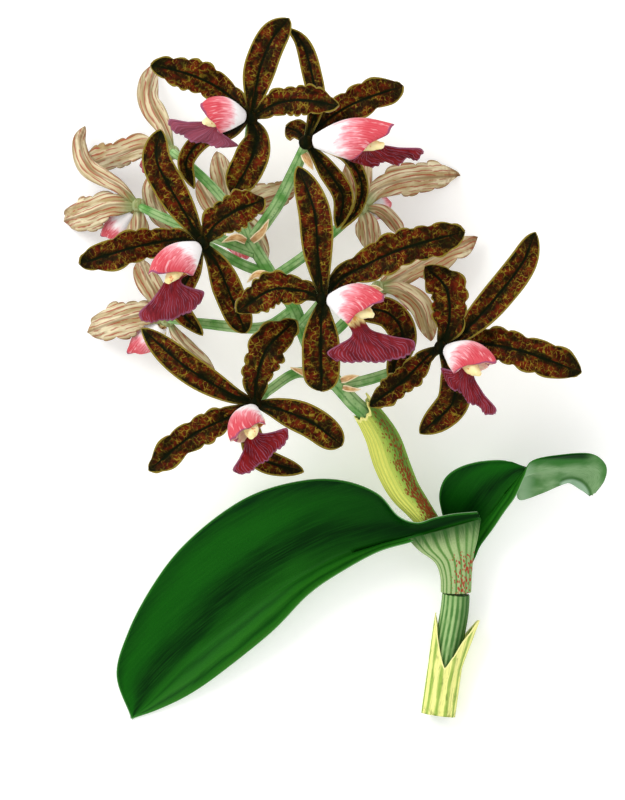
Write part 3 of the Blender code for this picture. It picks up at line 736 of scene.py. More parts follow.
# %% Dress the sepals and petals
BLOOMS = FRONT_BLOOMS + BACK_BLOOMS
for number, spec in enumerate(BLOOMS, 1):
    draw = random.Random(SEED + number)
    extra = random.Random(100 * SEED + number)
    hub = at(*spec["hub"])
    face = unit(np.array(spec["face"], float))
    skins = [hub_skin(hub, (HUB_RADIUS - 0.1) * MM, face, spec["out"])]
    for points, wide, blunt, petal in spec["tepals"]:
        skins.append(tepal_skin_of(hub, face, on_plan(points), wide, blunt, petal, draw, extra))
    dress(f"bloom_{number:02d}_tepals", skins, tepal_skin)
    print("bloom", number, "blades:", len(spec["tepals"]), "facing", "down" if spec["out"] else "up")

# %% [markdown]
# ## The lip
#
# The lip is one petal with three lobes. The side lobes roll into a hood over the column, white at
# the root and rose red towards the mouth, with a purple rim. The middle lobe comes out at the open
# side as a narrow claw and spreads into a ruffled crimson fan with lilac veins. Both are skins that
# share one material: the mark `zone` is 0 on the hood and 1 on the fan.

# %% The skin of the lip: hood
lip_skin, shader = new_material("lip_skin", 0.5, shine=0.06)
flat, rim, across, along, side = skin_marks()
zone, faded = mark("zone"), mark("rib")
cloud = streaks(flat, (0.5, 0.16, 1.0), detail=3.0)
rise = plus(along, scaled(cloud, 0.5, -0.25))
hood = two_tone("#fffcfc", "#f3a3ac", rise, 0.25, 0.54)
hood = tint(hood, "#d0505a", step_up(rise, 0.38, 0.78))
stripes = use_group(long_veins, Place=flat, Spacing=1.0, Width=0.24, Break=0.42)
stripes = times(stripes, step_up(rise, 0.22, 0.62))
hood = tint(hood, "#b8242f", stripes, 0.6)
pearl = times(step_up(streaks(flat, (1.4, 0.22, 1.0)), 0.56, 0.7), 0.5)
hood = tint(hood, "#fbd3d6", times(pearl, step_up(rise, 0.3, 0.5)))
low_edge = times(step_up(calc("ABSOLUTE", across), 0.84, 0.97), step_up(rise, 0.05, 0.3))
hood = tint(hood, "#d84450", low_edge, 0.55)
purple = edge_of(flat, rim, 1.0)
purple = times(purple, step_up(along, 0.35, 0.7))
hood = tint(hood, "#95506e", purple, 0.9)
inside = two_tone("#fdf2d4", "#fad0c6", cloud, 0.35, 0.6)
inside = tint(inside, "#dc4a42", stripes, 0.7)
hood = pick(side, hood, inside)
print("hood: white, rose, purple rim")

# %% The skin of the lip: fan
fan = two_tone("#7c0c0e", "#821c20", along, 0.45, 0.98)
fan = tint(fan, "#5c0a0f", step_up(cloud, 0.4, 0.7))
fan = tint(fan, "#8f4a5c", times(faded, step_up(along, 0.4, 0.75)))
ray = plus(times(across, 13.0), times(noise(flat, 0.2, 2.0), 2.2))
ray = fade(calc("PINGPONG", ray, 0.5), 0.02, 0.2)
gone = streaks(flat, (0.6, 0.18, 1.0))
ray = times(ray, step_up(gone, 0.36, 0.5), step_up(along, 0.35, 0.6))
fan = tint(fan, "#9c667e", ray, 0.55)
lilac = edge_of(flat, rim, 0.7)
lilac = times(lilac, step_up(along, 0.45, 0.7), 0.6)
fan = tint(fan, "#94607c", lilac)
pale = two_tone("#c98aa6", "#b05a78", cloud, 0.4, 0.7)
fan = pick(side, pale, fan)
throat = fade(plus(along, times(cloud, 0.16)), 0.44, 0.54)
fan = blend(throat, fan, two_tone("#f6e6a0", "#e9a45c", cloud, 0.45, 0.6))
grain = plus(times(ray, 0.6), streaks(flat, (3.0, 0.7, 1.0), detail=3.0))
coat(shader, pick(zone, hood, fan), grain, 0.30, 0.0005)
feed(shader.inputs["Roughness"], scaled(cloud, 0.2, 0.36))
print("material:", lip_skin.name)

# %% The hood's grid
HOOD_CUT = 0.38
HOOD_STEPS = (34, 45)
LIP_START = HUB_RADIUS + GAP + 0.5


def lip_frame(spec):
    a = unit(np.array(spec["a"], float))
    u = np.array(spec["u"], float)
    u = unit(u - a * (u @ a))
    return a, u, np.cross(a, u)


def hood_radius(t, big):
    low = 2.5 + (big - 2.5) * np.sin(np.pi / 2 * np.minimum(t, 0.55) / 0.55)
    return np.where(t < 0.55, low, big * (1 - 0.30 * (np.maximum(t - 0.55, 0) / 0.45) ** 2))


def hood_skin(hub, spec, seed):
    a, u, w = lip_frame(spec)
    t, v = steps(*HOOD_STEPS)
    reach = np.radians(160 - 85 * (np.maximum(t - 0.3, 0) / 0.7) ** 0.8)
    turn = v * reach
    r = hood_radius(t, spec["big"])
    r = r + 0.55 * np.sin(5 * turn + seed) * t ** 5 + 0.9 * np.abs(v) ** 6 * np.clip(t * 2 - 0.6, 0, 1)
    d = LIP_START + (spec["long"] - LIP_START) * t * (1 - HOOD_CUT * t ** 2 * v ** 2)
    d = d + 0.5 * np.sin(7 * turn + 2 * seed) * t ** 6
    off = spread(r * np.cos(turn) - 2.5 * t ** 2, u) + spread(r * np.sin(turn), w)
    grid = hub + (spread(d, a) + off) * MM
    rim = np.minimum((1 - np.abs(v)) * reach * r, (1 - t) * spec["long"])
    marks = grid_marks(turn * r, d, seed * 7.0, v, t, rim)
    return skin(grid, (0.7 - 0.3 * np.maximum(t ** 6, np.abs(v) ** 6)) * MM, marks)


print("hood ready")

# %% The fan's grid
FAN_STEPS = (44, 61)


def fan_points(hub, spec, a, u, w):
    if "neck" in spec:
        side = unit(np.array(spec["side"], float))
        return at(*spec["neck"]), at(*spec["low"]), side if side @ w > 0 else -side
    neck = hub + (a * (0.55 * spec["long"]) - u * (0.95 * spec["big"])) * MM
    return neck, neck + (a * 0.62 - u * 0.78) * spec["drop"] * MM, w


def fan_skin(hub, spec, seed, faded):
    a, u, w = lip_frame(spec)
    r1 = float(hood_radius(np.array(0.3), spec["big"]))
    claw = hub + (a * (LIP_START + 0.8) - u * 2.0) * MM
    mid = hub + (a * (LIP_START + 0.3 * (spec["long"] - LIP_START)) - u * (0.84 * r1)) * MM
    neck, low, side = fan_points(hub, spec, a, u, w)
    line, run = smooth_line([claw, mid, neck, neck + (low - neck) * 0.55, low], FAN_STEPS[0])
    s, v = steps(*FAN_STEPS)
    wide = soft_mix([1.9, 3.6, 4.4, 3.8, 4.6] + [k * spec["fan"] for k in (0.62, 0.98, 0.90)], s)
    along = heading(line)
    lean = np.clip((s - 0.2) / 0.5, 0, 1)
    across = unit(w * (1 - lean) + side * lean)
    face = unit(np.cross(across, along))
    late = np.clip((s - 0.5) / 0.5, 0, 1)
    ruffle = 1.3 * np.cos(3 * np.pi * v) * late ** 1.5 + 0.30 * np.cos(15 * np.pi * v) * late
    back = 0.20 * wide * v ** 2 * np.clip((s - 0.45) / 0.55, 0, 1)
    scallop = 0.045 * np.abs(np.sin(5.5 * np.pi * v + seed)) + 0.03 * np.sin(3 * v + seed)
    shift = back - scallop * spec["fan"] * late ** 4
    grid = line[:, None] + (spread(v * wide, across[:, None]) - spread(shift, along[:, None])
                            + spread(ruffle, face[:, None])) * MM
    rim = np.minimum((1 - np.abs(v)) * wide, (1 - s) * run[-1] / MM)
    marks = grid_marks(v * wide, run[:, None] / MM, seed * 7.0 + 40, v, s, rim, zone=1.0, rib=faded)
    return skin(grid, (0.75 - 0.4 * np.maximum(s ** 6, np.abs(v) ** 6)) * MM, marks, flip="neck" in spec)


print("fan ready")

# %% Dress the lips
FADED = {1: 0.85, 3: 0.15, 4: 0.1, 5: 0.1}
for number, spec in enumerate(BLOOMS, 1):
    hub = at(*spec["hub"])
    seed = number * 0.83
    skins = [hood_skin(hub, spec["lip"], seed), fan_skin(hub, spec["lip"], seed, FADED.get(number, 0.0))]
    dress(f"bloom_{number:02d}_lip", skins, lip_skin)
print("lips:", len(BLOOMS))

# %% [markdown]
# ## Round stems with Geometry Nodes
#
# The stalk, the pseudobulb and the columns are all a round section drawn along a curve, so one tree
# makes them: it draws a circle along the curve, as thick as the curve's own radius, raises ribs round
# it, adds soft lumps and sets the skin. Its inputs are the number of sides, the ribs and their
# height, and the lumps with their size and seed.

# %% The stem tree
tree = stem_tree = bpy.data.node_groups.new("round_stem", "GeometryNodeTree")
for label, kind in [("Curve", "Geometry"), ("Sides", "Int"), ("Ribs", "Int"),
                    ("Rib Height", "Float"), ("Lump Height", "Float"), ("Lump Size", "Float"),
                    ("Seed", "Float"), ("Skin", "Material")]:
    stem_tree.interface.new_socket(label, in_out="INPUT", socket_type="NodeSocket" + kind)
stem_tree.interface.new_socket("Stem", in_out="OUTPUT", socket_type="NodeSocketGeometry")
given = add("NodeGroupInput").outputs


def keep_mark(geometry, name, value):
    return add("GeometryNodeStoreNamedAttribute", domain="POINT", Geometry=geometry, Name=name,
               Value=value).outputs[0]


print("inputs:", [s.name for s in stem_tree.interface.items_tree if s.in_out == "INPUT"])

# %% The stem tree: section, ribs and lumps
circle = add("GeometryNodeCurvePrimitiveCircle", Resolution=given["Sides"], Radius=1.0)
share = add("GeometryNodeSplineParameter").outputs["Factor"]
turn = times(share, given["Ribs"], 2 * math.pi)
section = keep_mark(circle.outputs[0], "rib", calc("COSINE", turn))
path = keep_mark(given["Curve"], "zone", share)
own_radius = add("GeometryNodeInputRadius").outputs[0]
body = add("GeometryNodeCurveToMesh", Curve=path, Profile_Curve=section, Scale=own_radius,
           Fill_Caps=True)
lump = add("ShaderNodeTexNoise", noise_dimensions="4D", Scale=given["Lump Size"], W=given["Seed"])
lump = times(scaled(lump.outputs[0], 2.0, -1.0), given["Lump Height"])
held = add("GeometryNodeInputNamedAttribute", Name="rib")
rib = scaled(held.outputs[0], given["Rib Height"], lump)
way_out = add("GeometryNodeInputNormal").outputs[0]
push = add("ShaderNodeVectorMath", way_out, operation="SCALE", Scale=rib)
moved = add("GeometryNodeSetPosition", Geometry=body.outputs[0], Offset=push.outputs[0])
smooth = add("GeometryNodeSetShadeSmooth", Geometry=moved.outputs[0])
real = add("GeometryNodeRealizeInstances", Geometry=smooth.outputs[0])
skinned = add("GeometryNodeSetMaterial", Geometry=real.outputs[0], Material=given["Skin"])
feed(add("NodeGroupOutput").inputs[0], skinned.outputs[0])
print("stem tree:", len(stem_tree.nodes), "nodes")

# %% Curves into stems


def grow(node, lines, material, sides, ribs=0, rib=0.0, lump=0.0, size=300.0, seed=0.0):
    """lines holds (points, radii in mm, number of steps); one mesh comes out of them all."""
    curve = bpy.data.curves.new(node + "_line", "CURVE")
    curve.dimensions = "3D"
    for points, radii, count in lines:
        line, _ = smooth_line(points, count)
        spline = curve.splines.new("POLY")
        spline.points.add(count - 1)
        thick = soft_mix(radii, np.linspace(0, 1, count)) * MM
        spline.points.foreach_set("co", np.concatenate([line, np.ones((count, 1))], axis=1).ravel())
        spline.points.foreach_set("radius", thick)
    guide = bpy.data.objects.new(node + "_line", curve)
    bpy.context.scene.collection.objects.link(guide)
    modifier = guide.modifiers.new("stem", "NODES")
    modifier.node_group = stem_tree
    values = {"Sides": sides, "Ribs": ribs, "Rib Height": rib * MM, "Lump Height": lump * MM,
              "Lump Size": size, "Seed": float(seed), "Skin": material}
    for item in stem_tree.interface.items_tree:
        if item.in_out == "INPUT" and item.name in values:
            modifier[item.identifier] = values[item.name]
    bpy.context.view_layer.update()
    mesh = bpy.data.meshes.new_from_object(guide.evaluated_get(bpy.context.evaluated_depsgraph_get()))
    mesh.name = node + "_skin"
    bpy.data.objects.remove(guide, do_unlink=True)
    return finish_piece(bpy.data.objects.new(node + "_skin", mesh), node, material)


print("stems are read back as plain meshes")

# %% [markdown]
# ## The column
#
# Inside each hood stands the column, a waxy cream rod with a lumpy cap. It leans to the open side, so
# that the cap shows there.

# %% The wax of the column
column_wax, shader = new_material("column_wax", 0.35, shine=0.3)
spot = object_place()
cream = blend(noise(spot, 260.0, 2.0), paint("#fdf6cf"), paint("#f1d676"))
crease = step_up(noise(spot, 520.0, 3.0), 0.60, 0.68)
cream = tint(cream, "#d9663a", crease, 0.75)
coat(shader, cream, noise(spot, 700.0, 3.0), 0.3, 0.0004)
shader.inputs["Subsurface Weight"].default_value = 0.1
shader.inputs["Subsurface Scale"].default_value = 0.002
print("material:", column_wax.name)

# %% Columns


def column_path(hub, spec):
    a, u, w = lip_frame(spec)
    if "neck" in spec:
        lean, offsets = w * math.copysign(0.77, w[2]) - u * 0.64, (0.0, 1.0, 3.0, 4.6)
    else:
        lean, offsets = -u, (0.0, 0.5, 0.9, 1.3)
    shares = [HUB_RADIUS + GAP + (spec["long"] - HUB_RADIUS) * k for k in (0.0, 0.36, 0.62, 0.84)]
    return [hub + (a * d + lean * off) * MM for d, off in zip(shares, offsets)]


for number, spec in enumerate(BLOOMS, 1):
    path = column_path(at(*spec["hub"]), spec["lip"])
    grow(f"bloom_{number:02d}_column", [(path, [1.1, 1.6, 2.3, 3.1, 1.2], 40)], column_wax, 28,
         lump=0.8, size=330.0, seed=number)
print("columns:", len(BLOOMS))

# %% [markdown]
# ## The stalk and its stems
#
# One green growth carries everything: a main stalk that comes out of the spathe, and twelve stems,
# each the stalk of a bloom. They are one set of curves, sunk into each other where they fork. The
# bulb is drawn the same way, with sixteen ribs.

# %% The green of the stalk
stalk_skin, shader = new_material("stalk_skin", 0.5, shine=0.06)
spot = object_place()
rib = mark("rib")
streak = streaks(spot, (1.0, 1.0, 1.0), scale=130.0, detail=3.0)
green = two_tone("#5c9447", "#a2c287", streak, 0.35, 0.65)
green = tint(green, "#3f7431", step_up(rib, 0.1, 0.9), 0.6)
fleck = use_group(speckles, Place=stretch(spot, (1000.0, 1000.0, 1000.0)), Scale=0.7, Amount=0.34)
green = tint(green, "#2e6a38", fleck, 0.5)
coat(shader, green, noise(spot, 900.0, 3.0), 0.25, 0.0003)
print("material:", stalk_skin.name)

# %% The lines of the stalk
STALK = [(443, 545, 12.6), (430, 521, 18), (405, 490, 24.2), (385, 442, 31), (366, 413, 37),
         (348, 395, 40), (312, 350, 46), (293, 305, 50), (272, 275, 52), (250, 240, 54)]
STALK_RADII = [2.5, 2.6, 2.8, 3.2, 3.4, 3.3, 3.0, 2.9, 2.8, 2.6]
PEDICELS = [
    ([(250, 240, 54), (243, 215, 51), (246, 170, 50), (251, 122, 54)], 2.2, 0.4),
    ([(254, 236, 54), (276, 205, 54), (293, 172, 55), (304, 148, 60)], 2.7, 0.45),
    ([(266, 272, 52), (242, 263, 53), (214, 248, 59)], 2.2, 0.3),
    ([(300, 325, 48), (312, 312, 58), (321, 301, 67)], 2.2, 0.35),
    ([(336, 385, 41), (372, 377, 38), (415, 362, 41), (436, 349, 50)], 2.3, 0.25),
    ([(334, 384, 42), (300, 371, 42), (270, 388, 48)], 2.2, 0.35),
    ([(250, 242, 54), (222, 197, 46), (192, 166, 40), (175, 152, 39)], 2.1, 1.0),
    ([(256, 252, 54), (215, 236, 46), (175, 221, 40), (146, 208, 38)], 2.4, 0.75),
    ([(294, 308, 50), (262, 326, 42), (205, 322, 38), (173, 318, 39)], 2.3, 1.15),
    ([(273, 276, 52), (306, 253, 46), (342, 223, 42), (358, 208, 41)], 2.2, 0.95),
    ([(312, 348, 46), (340, 325, 40), (366, 296, 37)], 2.2, 0.3),
    ([(256, 250, 54), (246, 234, 46), (235, 219, 38)], 2.0, 0.3),
]
lines = [(on_plan(STALK), STALK_RADII, 110)]
for (points, radius, seat), spec in zip(PEDICELS, BLOOMS):
    hub = at(*spec["hub"])
    places = on_plan(points)
    places.append(hub + unit(places[-1] - hub) * (HUB_RADIUS + seat) * MM)
    lines.append((places, [radius, radius, radius * 0.95, 1.6 if spec["out"] else 2.0], 40))
grow("flower_stalk", lines, stalk_skin, 28, ribs=7, rib=0.07, lump=0.10, size=160.0)
print("stems:", len(lines) - 1)

# %% The ribbed bulb
BULB_SHADE = 0.0665
bulb_skin, shader = new_material("bulb_skin", 0.55, shine=0.06)
spot = object_place()
rib = mark("rib")
wander = plus(rib, scaled(noise(spot, 190.0, 3.0), 2.4, -1.2))
green = two_tone("#4c7c3c", "#a3bf80", wander, -0.9, 0.9)
green = tint(green, "#669250", step_up(noise(spot, 95.0, 2.0), 0.45, 0.65), 0.6)
# Painted shade darkens the right-hand side of the bulb.
lean = scaled(split(spot)[1], -0.1475, split(spot)[0])
shade_on_right_side = step_up(plus(lean, times(noise(spot, 150.0, 2.0), 0.004)), BULB_SHADE, BULB_SHADE + 0.006)
green = tint(green, "#2b5a25", shade_on_right_side, 0.75)
coat(shader, green, noise(spot, 800.0, 3.0), 0.3, 0.0004)
BULB_RADIUS = 5.7
BULB = [(439, 716, 7.6), (447, 660, 9), (455, 615, 12), (457, 594, 13.5)]
bulb_line = on_plan(BULB)
radii = [BULB_RADIUS * k for k in (0.92, 0.95, 1.0, 1.04, 1.04, 1.0)]
grow("pseudobulb", [(bulb_line, radii, 60)], bulb_skin, 128, ribs=16, rib=0.16, lump=0.12,
     size=130.0)
print("bulb radius", BULB_RADIUS, "mm")

# %% [markdown]
# ## The sheath round the bulb
#
# An old leaf base, dry and papery: yellow with green stripes, split at the front into a V, with two
# long points. It is a ring-shaped skin whose top edge rises at the sides.

# %% The paper of the sheath
sheath_paper, shader = new_material("sheath_paper", 0.6, shine=0.06)
flat, rim, across, along, side = skin_marks()
rib = mark("rib")
wander = plus(rib, scaled(streaks(flat, (0.5, 0.12, 1.0), detail=3.0), 1.8, -0.9))
paper = two_tone("#f0ee92", "#9ab653", wander, -0.1, 0.9)
stain = step_up(streaks(flat, (0.8, 0.18, 1.0), detail=3.0), 0.58, 0.72)
paper = tint(paper, "#5f7a34", stain, 0.6)
hair = use_group(long_veins, Place=flat, Spacing=0.9, Width=0.18, Break=0.45)
paper = tint(paper, "#5a8438", hair, 0.6)
edge = edge_of(flat, rim, 0.9)
paper = tint(paper, "#f7f2a2", edge)
foot = times(fade(along, 0.0, 0.12), step_up(noise(flat, 0.6, 3.0), 0.45, 0.6))
paper = tint(paper, "#6a7a2a", foot, 0.6)
coat(shader, paper, plus(rib, streaks(flat, (2.0, 0.3, 1.0), detail=3.0)), 0.35, 0.0005)
print("material:", sheath_paper.name)

# %% The sheath's grid
SHEATH_THICK = 0.8
SHEATH_STEPS = (50, 120)
SHEATH_LONG = 50


def sheath_skin():
    line, _ = smooth_line(bulb_line, 7)
    s, turn = ring_steps(*SHEATH_STEPS)
    side = np.cos(turn)
    peak = 0.40 + 0.42 * np.abs(side) ** 1.3
    share = s * peak
    k = np.clip(share, 0, 0.9999) * 6
    low = k.astype(int)
    spot = line[low] + (line[low + 1] - line[low]) * (k - low)[..., None]
    across, lift = level_frame(unit(line[low + 1] - line[low]))
    flare = 1 + (0.45 * np.maximum(0, side) ** 3 + 0.15) * np.maximum(0, s - 0.5) * 2
    ribs = np.cos(turn * 11)
    r = (BULB_RADIUS + GAP + SHEATH_THICK / 2 + 0.4) * flare + 0.14 * ribs
    grid = spot + (spread(r * side, across) + spread(r * np.sin(turn), lift)) * MM
    grid[..., 2] = np.maximum(grid[..., 2], SHEATH_THICK / 2 * MM)
    around = (turn + np.pi / 2) * BULB_RADIUS
    rim = (1 - s) * peak * SHEATH_LONG
    marks = grid_marks(around, share * SHEATH_LONG, 0, side, s, rim, rib=ribs)
    return skin(grid, (SHEATH_THICK - 0.35 * s ** 3) * MM, marks, ring=True)


dress("basal_sheath", [sheath_skin()], sheath_paper)
print("sheath dressed")

# %% [markdown]
# ## The spathe
#
# The flattened sheath that the stalk grew through: yellow on one side and green on the other, with
# fine green ribs, and dark red speckles that thicken down the shaded side. The torn mouth curls.

# %% The skin of the spathe
spathe_skin, shader = new_material("spathe_skin", 0.5, shine=0.06)
flat, rim, across, along, side = skin_marks()
rib = mark("rib")
turned = plus(across, scaled(streaks(flat, (0.3, 0.05, 1.0)), 0.6, -0.3))
wash = two_tone("#dfe06c", "#6f9a3a", turned, -0.55, 0.5)
wash = tint(wash, "#86a848", step_up(rib, 0.2, 1.0), 0.45)
hair = use_group(long_veins, Place=flat, Spacing=0.8, Width=0.2, Break=0.42)
wash = tint(wash, "#a8bc4c", hair, 0.5)
lit_edge = fade(across, 0.78, 0.97)
dense = times(step_up(turned, -0.35, 0.4), calc("SUBTRACT", 1.75, times(along, 0.95)))
low_part = times(fade(along, 0.05, 0.3), step_up(turned, -0.7, -0.2))
dense = times(calc("MAXIMUM", dense, times(low_part, 1.3)), scaled(lit_edge, 0.6, 0.4))
shaded = times(step_up(turned, 0.2, 0.6), lit_edge, 0.5)
wash = tint(wash, "#2f3f1a", shaded)
long_spots = stretch(flat, (1.7, 0.55, 1.0))
dots = use_group(speckles, Place=long_spots, Scale=1.05, Amount=times(dense, 0.8))
wash = tint(wash, "#7c2614", dots, 0.9)
edge = edge_of(flat, rim, 1.2)
wash = tint(wash, "#f2ef94", edge)
coat(shader, wash, plus(rib, streaks(flat, (2.0, 0.3, 1.0), detail=3.0)), 0.35, 0.0005)
print("material:", spathe_skin.name)

# %% The spathe's grid
SPATHE = [(431.6, 524, 17.8), (417, 505, 21.5), (404, 488, 24.5), (393, 465, 27.3),
          (384, 440, 31.3), (376, 425, 34), (366, 411, 37)]
SPATHE_WIDE = [4.0, 5.0, 6.2, 6.9, 7.0, 6.2, 5.0]
SPATHE_DEEP = [4.7, 4.9, 5.1, 5.2, 5.1, 5.0, 4.8]
SPATHE_STEPS = (70, 156)


def spathe_grid():
    line, run = smooth_line(on_plan(SPATHE), SPATHE_STEPS[0])
    s, turn = ring_steps(*SPATHE_STEPS)
    along = heading(line)
    across, lift = level_frame(along)
    ribs = np.cos(turn * 26)
    wide = soft_mix(SPATHE_WIDE, s) + 0.08 * ribs
    deep = soft_mix(SPATHE_DEEP, s) + 0.08 * ribs
    late = np.clip((s - 0.85) / 0.15, 0, 1)
    reach = late * (6.0 * np.maximum(0, np.cos(turn)) ** 2 + 1.2 * np.sin(turn * 5) ** 2)
    reach = reach + late ** 2 * 2.5 * np.exp(-((turn - np.radians(60)) / 0.25) ** 2)
    grid = line[:, None] + (spread(wide * np.cos(turn), across[:, None])
                            + spread(deep * np.sin(turn), lift[:, None])
                            + spread(reach, along[:, None])) * MM
    around, rim = (turn + np.pi / 2) * 6.0, (1 - s) * run[-1] / MM
    marks = grid_marks(around, run[:, None] / MM, 0, np.cos(turn), s, rim, rib=ribs)
    return skin(grid, (0.9 - 0.4 * s ** 4) * MM, marks, ring=True)


dress("spathe", [spathe_grid()], spathe_skin)
print("spathe dressed")

# %% [markdown]
# ## Leaves
#
# A leathery leaf is drawn by three long lines: its two edges and the midrib. The blade sags a little
# between them. Above it is dark green with lighter bands, partly its own stripes and partly painted
# light and shade of its curves, and below pale and dull. The big leaf ends in a clasping foot: a fan
# of pale ribs with red dots.

# %% The wax of the leaf
leaf_wax, shader = new_material("leaf_wax", 0.45, shine=0.04)
flat, rim, across, along, side = skin_marks()
zone, rib = mark("zone"), mark("rib")
drift = streaks(flat, (0.1, 0.02, 1.0), detail=3.0, rough=0.6)
fibre = streaks(flat, (1.6, 0.05, 1.0), detail=3.0, rough=0.6)
v = plus(across, scaled(drift, 0.5, -0.25))
# The bands are partly the leaf's own stripes and partly painted light on its raised parts and painted
# shade in its valleys.
bands = add("ShaderNodeValToRGB", scaled(v, 0.5, 0.5))
stops = [
    (0.00, "#04300a"), (0.03, "#0a4409"), (0.12, "#125a0c"), (0.22, "#0f520b"), (0.30, "#063606"),
    (0.36, "#022604"), (0.41, "#063806"), (0.47, "#124e0b"), (0.54, "#1a5e10"), (0.62, "#0e480a"),
    (0.68, "#1c6012"), (0.78, "#246816"), (0.86, "#0c420a"), (0.92, "#1f6214"), (1.00, "#2c6418"),
]
while len(bands.color_ramp.elements) < len(stops):
    bands.color_ramp.elements.new(0.5)
for element, (spot, code) in zip(bands.color_ramp.elements, stops):
    element.position = spot
    element.color = paint(code)
upper = tint(bands.outputs["Color"], "#1f6a14", step_up(fibre, 0.4, 0.7), 0.25)
pores = step_up(noise(flat, 2.6, 3.0, 0.7), 0.42, 0.66)
upper = tint(upper, "#02200a", pores, 0.28)
# Painted shade: nearly black towards the base on the far half of the blade.
deep = times(fade(along, 0.05, 0.5), fade(across, -0.1, 0.25))
upper = tint(upper, "#012003", deep, 0.85)
print("upper side of the leaf")

# %% The wax of the leaf: edge, underside and foot
CREASE_CENTRE = (0.0999, -0.0538, 0.0)
CREASE_REACH = 0.0084
edge = edge_of(flat, rim, 0.55)
upper = tint(upper, "#2c7420", edge, 0.6)
spot = object_place()
patch = noise(spot, 75.0, 3.0)
pale = two_tone("#4a7d3e", "#82a574", patch, 0.38, 0.62)
strokes = step_up(streaks(flat, (2.6, 0.22, 1.0), detail=4.0, rough=0.65), 0.42, 0.66)
pale = tint(pale, "#3d7038", strokes, 0.45)
ways = split(spot)
on_tip = step_up(ways[0], 0.0945, 0.0965)
plan = stretch(spot, (1.0, 1.0, 0.0))
reach = add("ShaderNodeVectorMath", plan, CREASE_CENTRE, operation="DISTANCE").outputs["Value"]
inside = times(fade(reach, CREASE_REACH - 0.0006, CREASE_REACH), on_tip)
pale = tint(pale, "#a4c3a6", inside, 0.8)
# Painted shadow: a dark line along the fold near the tip of the twisted leaf.
off_line = calc("ABSOLUTE", calc("SUBTRACT", reach, CREASE_REACH))
crease = times(fade(off_line, 0.0002, 0.0013), on_tip)
pale = tint(pale, "#2c5f22", crease, 0.75)
near_fold = fade(ways[0], 0.08, 0.086)
pale = tint(pale, "#9dbd98", near_fold, 0.6)
height = scaled(fibre, 0.0012, ways[1])
rolled = times(step_up(ways[0], 0.077, 0.085), fade(ways[0], 0.104, 0.111))
dark_line = times(step_up(height, -0.0376, -0.0358), rolled)
rolled = times(step_up(height, -0.0412, -0.0376), rolled)
pale = tint(pale, "#2a6a22", rolled, 0.9)
pale = tint(pale, "#06300a", dark_line)
whole = pick(side, upper, pale)
wander = plus(rib, scaled(fibre, 1.2, -0.6))
foot = two_tone("#527f3a", "#a3b880", wander, -1.0, 0.1)
foot = tint(foot, "#6f9a58", step_up(across, 0.2, 1.0), 0.5)
foot = tint(foot, "#7fa05c", step_up(noise(flat, 1.4, 3.0), 0.45, 0.65), 0.35)
# Painted shadow under the blade darkens the top of the foot.
shadow_under_blade = step_up(plus(along, times(fibre, 0.25)), 0.8, 1.12)
foot = tint(foot, "#1f4a1c", shadow_under_blade, 0.9)
freckled = times(step_up(across, -0.75, 0.35), fade(along, 0.45, 0.75))
dashes = stretch(flat, (1.3, 0.55, 1.0))
dots = use_group(speckles, Place=dashes, Scale=0.95, Amount=times(freckled, 0.85))
foot = tint(foot, "#a03028", dots, 0.9)
grain = plus(fibre, times(noise(flat, 2.2, 3.0), 0.6))
coat(shader, pick(zone, whole, foot), grain, 0.25, 0.0005)
feed(shader.inputs["Roughness"], scaled(drift, 0.3, 0.26))
print("material:", leaf_wax.name)

# %% The leaf's grid
LEAF_THICK = 1.3
LEAF_SAG = 0.10


def leaf_skin(far, mid, near, flip, seed, rows=130, between=14):
    edge_a, edge_b = (smooth_line(on_plan(rail), rows)[0] for rail in (far, near))
    mid_line, run = smooth_line(on_plan(mid), rows)
    share = np.arange(between + 1)[None, :, None] / (between + 1)
    halves = []
    for edge in (edge_a, edge_b):
        width = np.linalg.norm(edge - mid_line, axis=1)[:, None]
        part = edge[:, None] * (1 - share) + mid_line[:, None] * share
        sag = LEAF_SAG * width * np.sin(np.pi * share[..., 0])
        part[..., 2] = np.maximum(part[..., 2] - sag, LEAF_THICK / 2 * MM)
        halves.append((part, width * (1 - share[..., 0])))
    grid = np.concatenate([halves[0][0], mid_line[:, None], halves[1][0][:, ::-1]], axis=1)
    x = np.concatenate([-halves[0][1], 0 * halves[0][1][:, :1], halves[1][1][:, ::-1]], axis=1) / MM
    v = np.linspace(-1, 1, 2 * between + 3)[None, :] + 0 * x
    s = np.linspace(0, 1, rows)[:, None] + 0 * x
    widest = np.where(v < 0, -x[:, :1], x[:, -1:])
    grid[..., 2] -= 0.35 * MM * np.exp(-(x / 1.3) ** 2) * np.clip(grid[..., 2] / (3 * MM) - 0.4, 0, 1)
    marks = grid_marks(x, run[:, None] / MM, seed, v, s, widest - np.abs(x))
    return skin(grid, (LEAF_THICK - 0.6 * np.abs(v) ** 3) * MM, marks, flip=flip)


print("leaf grid: margins, midrib and the sag between")

# %% The foot that clasps the bulb
BASE_RINGS = [(457, 592, 13.5, 6.3, 5.9, 0.0), (457, 575, 15, 6.6, 6.1, 0.05),
              (455, 559, 17.2, 8.2, 5.2, 0.15), (449, 544, 20, 12.4, 3.8, 0.2),
              (445, 528, 22.6, 15.6, 2.2, 0.28)]
FOOT_STEPS = (60, 144)


